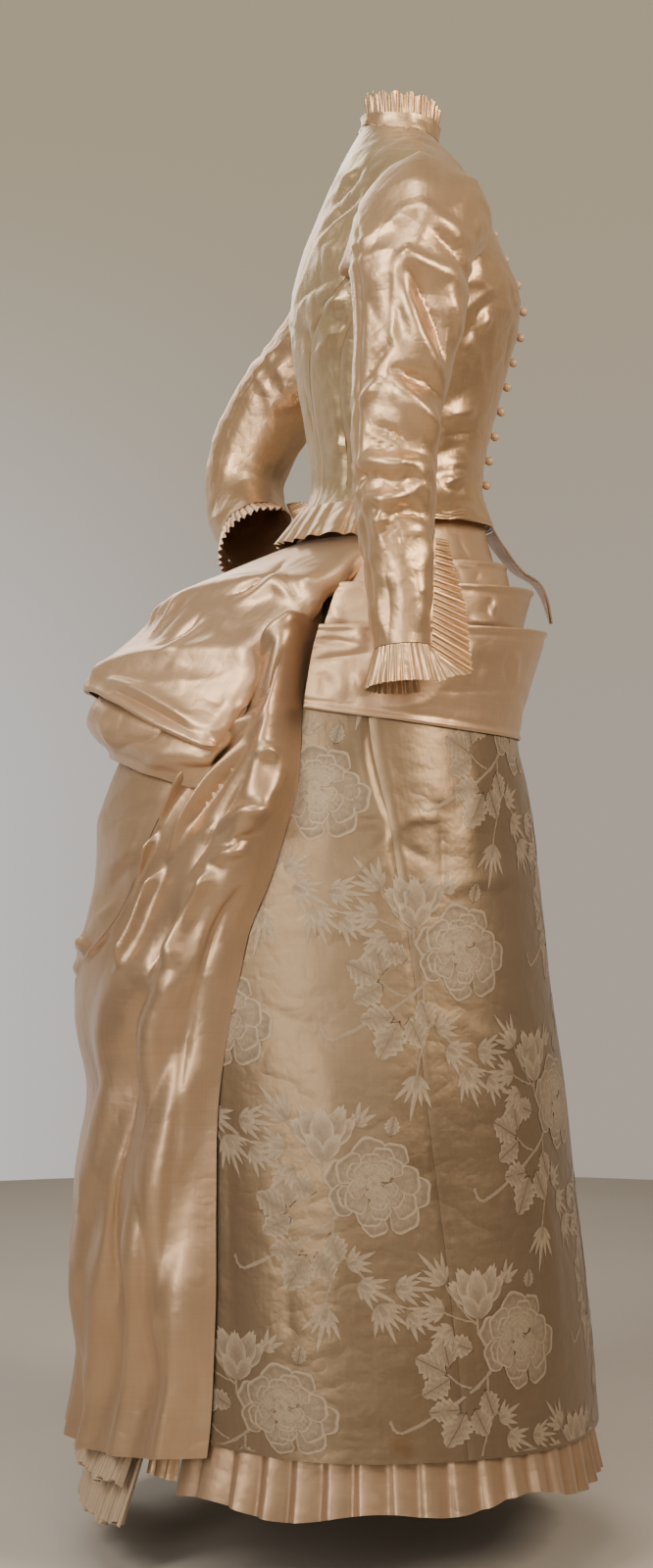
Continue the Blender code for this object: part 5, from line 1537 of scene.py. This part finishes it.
def bustle(satin, shade_tinted):
    """The back fall and side falls, the lower puff, and the flap over the shelf: the falls in the darker satin
    copy with painted shade, the puff and flap in the lighter copy with painted light.
    """
    levels = between([row[0] for row in FALL_EDGE], 200)
    edges = rows_at(FALL_EDGE, levels)
    for side, sign in SIDES:
        turn_gap = SEAM / 2 / SKIRT_RADIUS * DEGREES
        points, normal = lay(FALL, levels, edges[:, 1] + turn_gap, edges[:, 2] - turn_gap, 96, sign)
        points = raised(points, normal, FALL_FOLDS)
        flip = np.array((sign, 1.0, 1.0))
        home = seated(points[:, 0] * flip, edges[:, 1]) * flip
        ease = np.exp(-np.linspace(0, 1, 96)[None, :, None] / 0.035)
        points = points + (home - points[:, 0])[:, None, :] * ease
        normal = facing(points, away=(0.0, 0.0, -0.6))
        base = points
        points = creased(points, normal, FALL_CREASES, 2.6 if sign > 0 else 2.2)
        inside = edge_weight(points.shape, 0.06, 0.04, 0.03)
        points = uneven(points, normal, 0.11, 0.0012, 91 + sign, inside)
        points = crinkled(points, normal, 0.075, 0.0009, 95 + sign, LONG_PULLS, inside)
        points = kept(base, points, 0, 0.06)
        points = rolled(points, normal, "l", 0.0022, 0.0040)
        normal = facing(points, away=(0.0, 0.0, -0.6))
        sew("fall_" + side + "_cloth", points, normal, shade_tinted, "fall_" + side)
    v = between(FALL_BACK_LEVELS, 70)
    rear = rows_at(FALL_EDGE, v)[:, 2]
    gap = BACK_GAP / 2 / SKIRT_RADIUS * DEGREES
    points, normal = lay(FALL, v, rear + gap, 360 - rear - gap, 70)
    base = points
    points = creased(points, normal, both_ways(BACK_CREASES), 1.6)
    points = uneven(points, normal, 0.12, 0.0022, 99)
    points = crinkled(points, normal, 0.06, 0.0018, 98, LONG_PULLS)
    points = kept(base, points, 0.08, 0.08)
    normal = facing(points, away=(0.0, 0.0, -0.6))
    sew("fall_back_cloth", points, normal, shade_tinted, "fall_back")
    v = between(PUFF_LEVELS, 80)
    edge = rows_at(PUFF_EDGE, v)
    points, normal = lay(PUFF, v, edge[:, 1], edge[:, 2], 150)
    points = creased(points, normal, both_ways(PUFF_CREASES))
    points = uneven(points, normal, 0.12, 0.0015, 101)
    points = crinkled(points, normal, 0.060, 0.0012, 103, LONG_PULLS)
    points = rolled(points, normal, "f", 0.0030, 0.0050)
    points = tucked(points, normal, 0.040, 0.016, 10)
    normal = facing(points, away=(0.0, 0.05, -0.2))
    sew("bustle_puff_cloth", points, normal, satin, "bustle_puff")
    v = between(FLAP_LEVELS, 110)
    edge = rows_at(FLAP_EDGE, v)
    points, normal = lay(FLAP, v, edge[:, 1], edge[:, 2], 170)
    points = raised(points, normal, FLAP_FOLDS)
    turn = np.linspace(edge[0, 1], edge[0, 2], 170)
    ease = np.exp(-np.linspace(0, 1, 110)[:, None, None] / 0.06)
    points = points + (seated(points[0], turn) - points[0])[None, :, :] * ease
    normal = facing(points, away=(0.0, 0.05, -0.2))
    points = creased(points, normal, both_ways(FLAP_CREASES), 1.15)
    points = crinkled(points, normal, 0.060, 0.0009, 105, LONG_PULLS, edge_weight(points.shape, 0, 0, 0.06, 0))
    points = rolled(points, normal, "f", 0.0030, 0.0045)
    points = tucked(points, normal, 0.016, 0.012)
    normal = facing(points, away=(0.0, 0.05, -0.2))
    sew("bustle_flap_cloth", points, normal, satin, "bustle_flap")


class Nodes:
    """Short words for building a material's or a group's nodes."""

    def __init__(self, tree):
        self.tree = tree

    def add(self, kind, **settings):
        node = self.tree.nodes.new(kind)
        for name, value in settings.items():
            if hasattr(node, name):
                setattr(node, name, value)
            else:
                node.inputs[name.replace("_", " ")].default_value = value
        return node

    def join(self, out, into):
        self.tree.links.new(out, into)

    def math(self, kind, a, b=None, c=None):
        node = self.add("ShaderNodeMath", operation=kind)
        for k, value in enumerate((a, b, c)):
            if value is None:
                continue
            if isinstance(value, (int, float)):
                node.inputs[k].default_value = value
            else:
                self.join(value, node.inputs[k])
        return node.outputs[0]

    def mix(self, share, low, high):
        node = self.add("ShaderNodeMix", data_type="RGBA")
        for k, value in ((0, share), (6, low), (7, high)):
            if hasattr(value, "links"):
                self.join(value, node.inputs[k])
            else:
                node.inputs[k].default_value = value
        return node.outputs[2]

    def noise(self, where, scale, detail=2.0, rough=0.5, stretch=None):
        if stretch:
            turn = self.add("ShaderNodeMapping")
            turn.inputs["Scale"].default_value = stretch
            self.join(where, turn.inputs["Vector"])
            where = turn.outputs[0]
        node = self.add("ShaderNodeTexNoise")
        node.inputs["Scale"].default_value = scale
        node.inputs["Detail"].default_value = detail
        node.inputs["Roughness"].default_value = rough
        self.join(where, node.inputs["Vector"])
        return node.outputs["Fac"]

    def ramp(self, value, low, high):
        node = self.add("ShaderNodeMapRange", interpolation_type="SMOOTHSTEP")
        node.inputs["From Min"].default_value = low
        node.inputs["From Max"].default_value = high
        self.join(value, node.inputs["Value"])
        return node.outputs["Result"]


def group(name, inputs, outputs):
    tree = bpy.data.node_groups.new(name, "ShaderNodeTree")
    for label, kind, value in inputs:
        socket = tree.interface.new_socket(name=label, in_out="INPUT", socket_type=kind)
        if value is not None:
            socket.default_value = value
    for label, kind in outputs:
        tree.interface.new_socket(name=label, in_out="OUTPUT", socket_type=kind)
    nodes = Nodes(tree)
    return tree, nodes, nodes.add("NodeGroupInput"), nodes.add("NodeGroupOutput")


def woven_group():
    """Fine warp and weft of the silk with its slubs: a height and a small change of shade."""
    tree, n, start, end = group(
        "woven silk",
        (("Vector", "NodeSocketVector", None), ("Threads", "NodeSocketFloat", 1400.0)),
        (("Height", "NodeSocketFloat"), ("Slub", "NodeSocketFloat")),
    )
    cut = n.add("ShaderNodeSeparateXYZ")
    n.join(start.outputs["Vector"], cut.inputs[0])
    across = n.math("SINE", n.math("MULTIPLY", cut.outputs["X"], start.outputs["Threads"]))
    coarser = n.math("MULTIPLY", start.outputs["Threads"], 0.45)
    down = n.math("SINE", n.math("MULTIPLY", cut.outputs["Y"], coarser))
    n.join(n.math("ADD", n.math("MULTIPLY", across, 0.35), n.math("MULTIPLY", down, 0.5)), end.inputs["Height"])
    warp = n.noise(start.outputs["Vector"], 1.0, 1.0, 0.5, (420.0, 9.0, 1.0))
    weft = n.noise(start.outputs["Vector"], 1.0, 1.0, 0.5, (7.0, 520.0, 1.0))
    n.join(n.math("ADD", warp, weft), end.inputs["Slub"])
    return tree


def crumple_group():
    """Small soft creases that worn silk keeps: long ones and short ones."""
    tree, n, start, end = group(
        "silk crumple",
        (("Vector", "NodeSocketVector", None), ("Size", "NodeSocketFloat", 1.0)),
        (("Height", "NodeSocketFloat"), ("Dirt", "NodeSocketFloat")),
    )
    scaled = n.add("ShaderNodeVectorMath", operation="SCALE")
    n.join(start.outputs["Vector"], scaled.inputs[0])
    n.join(start.outputs["Size"], scaled.inputs["Scale"])
    where = scaled.outputs[0]
    long_one = n.noise(where, 1.0, 2.0, 0.45, (34.0, 15.0, 24.0))
    short_one = n.noise(where, 62.0, 2.0, 0.5)
    fold = n.math("ABSOLUTE", n.math("SUBTRACT", short_one, 0.5))
    ridge = n.math("ABSOLUTE", n.math("SUBTRACT", long_one, 0.5))
    height = n.math("ADD", n.math("MULTIPLY", ridge, 1.0), n.math("MULTIPLY", fold, 0.28))
    n.join(height, end.inputs["Height"])
    n.join(n.noise(where, 7.0, 3.0, 0.6), end.inputs["Dirt"])
    return tree


def aged_group():
    """Large soft yellowing and greying of old cloth, and the dust that settles low down."""
    tree, n, start, end = group(
        "old cloth",
        (("Vector", "NodeSocketVector", None), ("Foot", "NodeSocketFloat", -1.0)),
        (("Yellow", "NodeSocketFloat"), ("Dust", "NodeSocketFloat")),
    )
    n.join(n.ramp(n.noise(start.outputs["Vector"], 5.0, 3.0, 0.55), 0.35, 0.70), end.inputs["Yellow"])
    cut = n.add("ShaderNodeSeparateXYZ")
    n.join(start.outputs["Vector"], cut.inputs[0])
    low = n.math("SUBTRACT", cut.outputs["Z"], start.outputs["Foot"])
    settled = n.ramp(n.math("MULTIPLY", low, -1.0), -0.09, 0.01)
    dust = n.math("MULTIPLY", settled, n.noise(start.outputs["Vector"], 26.0, 3.0))
    n.join(dust, end.inputs["Dust"])
    return tree


# How much of each colour channel old satin keeps where it has yellowed.
YELLOWED = (0.93, 0.86, 0.66)


def silk(name, groups, dark, light, rough, shine, crumple=0.5, size=1.0, sheen=0.15, stain=None):
    """A silk satin: tone, age, slubs and gloss that vary, over crumple and weave bumps."""
    made = bpy.data.materials.new(name)
    made.use_nodes = True
    tree = made.node_tree
    n = Nodes(tree)
    shader = tree.nodes["Principled BSDF"]
    where = n.add("ShaderNodeTexCoord")
    threads = n.add("ShaderNodeGroup")
    threads.node_tree = groups["woven"]
    n.join(where.outputs["UV"], threads.inputs["Vector"])
    puckers = n.add("ShaderNodeGroup")
    puckers.node_tree = groups["crumple"]
    n.join(where.outputs["Object"], puckers.inputs["Vector"])
    puckers.inputs["Size"].default_value = size
    age = n.add("ShaderNodeGroup")
    age.node_tree = groups["aged"]
    n.join(where.outputs["Object"], age.inputs["Vector"])
    dirt, slub = puckers.outputs["Dirt"], threads.outputs["Slub"]
    share = n.math("ADD", n.math("MULTIPLY", dirt, 0.7), n.math("MULTIPLY", slub, 0.22))
    colour = n.mix(share, (*dark, 1), (*light, 1))
    aged = [shade * share for shade, share in zip(light, YELLOWED)]
    colour = n.mix(n.math("MULTIPLY", age.outputs["Yellow"], 0.22), colour, (*aged, 1))
    colour = n.mix(n.math("MULTIPLY", age.outputs["Dust"], 0.5), colour, (0.30, 0.24, 0.18, 1))
    if stain:
        gap = n.add("ShaderNodeVectorMath", operation="DISTANCE")
        n.join(where.outputs["Object"], gap.inputs[0])
        gap.inputs[1].default_value = stain
        ragged = n.math("MULTIPLY", n.noise(where.outputs["Object"], 60.0, 3.0), 0.018)
        spot = n.math("ADD", gap.outputs["Value"], ragged)
        mask = n.math("SUBTRACT", 1.0, n.ramp(spot, 0.014, 0.030))
        colour = n.mix(n.math("MULTIPLY", mask, 0.75), colour, (0.22, 0.11, 0.05, 1))
    n.join(colour, shader.inputs["Base Color"])
    gloss = n.math("ADD", n.math("MULTIPLY", dirt, 0.14), n.math("MULTIPLY", slub, 0.05))
    n.join(n.math("ADD", gloss, rough - 0.12), shader.inputs["Roughness"])
    shader.inputs["Metallic"].default_value = shine
    shader.inputs["Sheen Weight"].default_value = sheen
    shader.inputs["Sheen Roughness"].default_value = 0.4
    shader.inputs["Specular IOR Level"].default_value = 0.25
    shader.inputs["Anisotropic"].default_value = 0.40
    bump = n.add("ShaderNodeBump")
    bump.inputs["Strength"].default_value = crumple
    bump.inputs["Distance"].default_value = 0.009
    n.join(puckers.outputs["Height"], bump.inputs["Height"])
    fine = n.add("ShaderNodeBump")
    fine.inputs["Strength"].default_value = 0.12
    fine.inputs["Distance"].default_value = 0.0001
    n.join(threads.outputs["Height"], fine.inputs["Height"])
    n.join(bump.outputs[0], fine.inputs["Normal"])
    n.join(fine.outputs[0], shader.inputs["Normal"])
    return made


def rose_silk(groups):
    """Cream weft of the roses: outlines pale, hollows darker, its floats lying across the satin."""
    made = silk("rose_weft", groups, (0.47, 0.33, 0.20), (0.60, 0.44, 0.28), 0.50, 0.30, 0.3)
    tree = made.node_tree
    n = Nodes(tree)
    shader = tree.nodes["Principled BSDF"]
    tone = n.add("ShaderNodeAttribute", attribute_name="tone")
    where = n.add("ShaderNodeTexCoord")
    floats = n.noise(where.outputs["UV"], 1.0, 2.0, 0.6, (900.0, 260.0, 1.0))
    share = n.math("ADD", tone.outputs["Fac"], n.math("MULTIPLY", n.math("SUBTRACT", floats, 0.5), 0.5))
    share = n.ramp(share, 0.28, 0.98)
    n.join(n.mix(share, (0.205, 0.150, 0.100, 1), (0.385, 0.304, 0.212, 1)), shader.inputs["Base Color"])
    return made


def finishes():
    groups = {"woven": woven_group(), "crumple": crumple_group(), "aged": aged_group()}
    return {
        "satin": silk("champagne_satin", groups, (0.410, 0.258, 0.143), (0.690, 0.468, 0.282), 0.37, 0.73, 0.40),
        # A greener, cooler copy of the satin for the bodice sides and back: its tint is painted cool shade, not a
        # second cloth.
        "shade_tinted": silk("shaded_satin", groups, (0.400, 0.285, 0.160), (0.650, 0.490, 0.296), 0.37, 0.73, 0.40),
        # A darker copy of the satin for the falls and the front flounce: its darker colour is painted shade; its
        # smaller, softer crumple is its own finish.
        "drape": silk("shaded_drape_satin", groups, (0.340, 0.218, 0.132), (0.590, 0.405, 0.262), 0.38, 0.70, 0.28, 0.8),
        "brocade": silk("brocade_ground", groups, (0.190, 0.130, 0.080), (0.305, 0.220, 0.140), 0.40, 0.70, 0.26,
                        stain=STAIN),
        # A lighter, pinker copy of the satin for the hip strips, puff and flap: its lifted colour is painted
        # light; its rougher, less metallic gloss is its own finish.
        "swag": silk("lit_swag_satin", groups, (0.450, 0.288, 0.172), (0.710, 0.485, 0.312), 0.39, 0.66, 0.30, 0.8),
        "button": silk("button_cover", groups, (0.470, 0.340, 0.225), (0.650, 0.485, 0.335), 0.52, 0.25, 0.30),
        "sheer": silk("pleated_muslin", groups, (0.40, 0.295, 0.200), (0.54, 0.415, 0.290), 0.75, 0.0, 0.5,
                      1.6, 0.3),
        "rose": rose_silk(groups),
    }


def studio():
    """A round pale floor, a plain wall colour all round, and soft lights."""
    bpy.ops.object.select_all(action="DESELECT")
    bpy.ops.mesh.primitive_circle_add(vertices=96, radius=2.35, fill_type="NGON", location=(0, 0.05, FLOOR))
    floor = bpy.context.object
    floor.name = "floor"
    made = bpy.data.materials.new("floor")
    made.use_nodes = True
    n = Nodes(made.node_tree)
    shader = made.node_tree.nodes["Principled BSDF"]
    where = n.add("ShaderNodeTexCoord")
    shade = n.noise(where.outputs["Object"], 3.0, 3.0)
    n.join(n.mix(shade, (0.40, 0.365, 0.325, 1), (0.47, 0.435, 0.395, 1)), shader.inputs["Base Color"])
    shader.inputs["Roughness"].default_value = 0.75
    floor.data.materials.append(made)
    world = bpy.data.worlds.new("studio")
    bpy.context.scene.world = world
    world.use_nodes = True
    n = Nodes(world.node_tree)
    back = world.node_tree.nodes["Background"]
    where = n.add("ShaderNodeTexCoord")
    cut = n.add("ShaderNodeSeparateXYZ")
    n.join(where.outputs["Generated"], cut.inputs[0])
    wall = n.mix(n.ramp(cut.outputs["Y"], -0.14, 0.10), (0.46, 0.40, 0.34, 1), (0.76, 0.73, 0.72, 1))
    wall = n.mix(n.ramp(cut.outputs["Z"], -0.02, 0.26), wall, (0.43, 0.365, 0.25, 1))
    n.join(n.mix(n.ramp(cut.outputs["X"], -0.10, 0.85), (0.080, 0.071, 0.060, 1), wall), back.inputs["Color"])
    back.inputs["Strength"].default_value = 1.0
    for name, place, aim, size, power, colour in LAMPS:
        data = bpy.data.lights.new(name, "AREA")
        data.shape = "RECTANGLE"
        data.size, data.size_y = size
        data.energy = power
        data.color = colour
        lamp = bpy.data.objects.new(name, data)
        lamp.location = place
        lamp.rotation_euler = (Vector(aim) - Vector(place)).to_track_quat("-Z", "Y").to_euler()
        bpy.context.scene.collection.objects.link(lamp)


def camera():
    data = bpy.data.cameras.new("camera")
    data.sensor_fit = "VERTICAL"
    data.sensor_height = data.sensor_width = SENSOR
    data.lens = LENS
    eye = bpy.data.objects.new("camera", data)
    turn = math.radians(VIEW_TURN)
    target = Vector(VIEW_TARGET)
    eye.location = target + Vector((math.sin(turn), -math.cos(turn), 0.0)) * VIEW_DISTANCE
    eye.rotation_euler = (target - eye.location).to_track_quat("-Z", "Y").to_euler()
    bpy.context.scene.collection.objects.link(eye)
    bpy.context.scene.camera = eye


def main():
    camera()
    studio()
    cloth = finishes()
    bodice(cloth["satin"], cloth["shade_tinted"])
    sleeves(cloth["satin"])
    neck(cloth["satin"])
    buttons(cloth["button"])
    skirt = Skirt()
    gores(skirt, cloth["brocade"], cloth["satin"])
    roses(skirt, cloth["rose"])
    hems(cloth["satin"], cloth["drape"], cloth["sheer"])
    front_point(cloth["satin"])
    hip(cloth["swag"])
    bustle(cloth["swag"], cloth["drape"])


main()
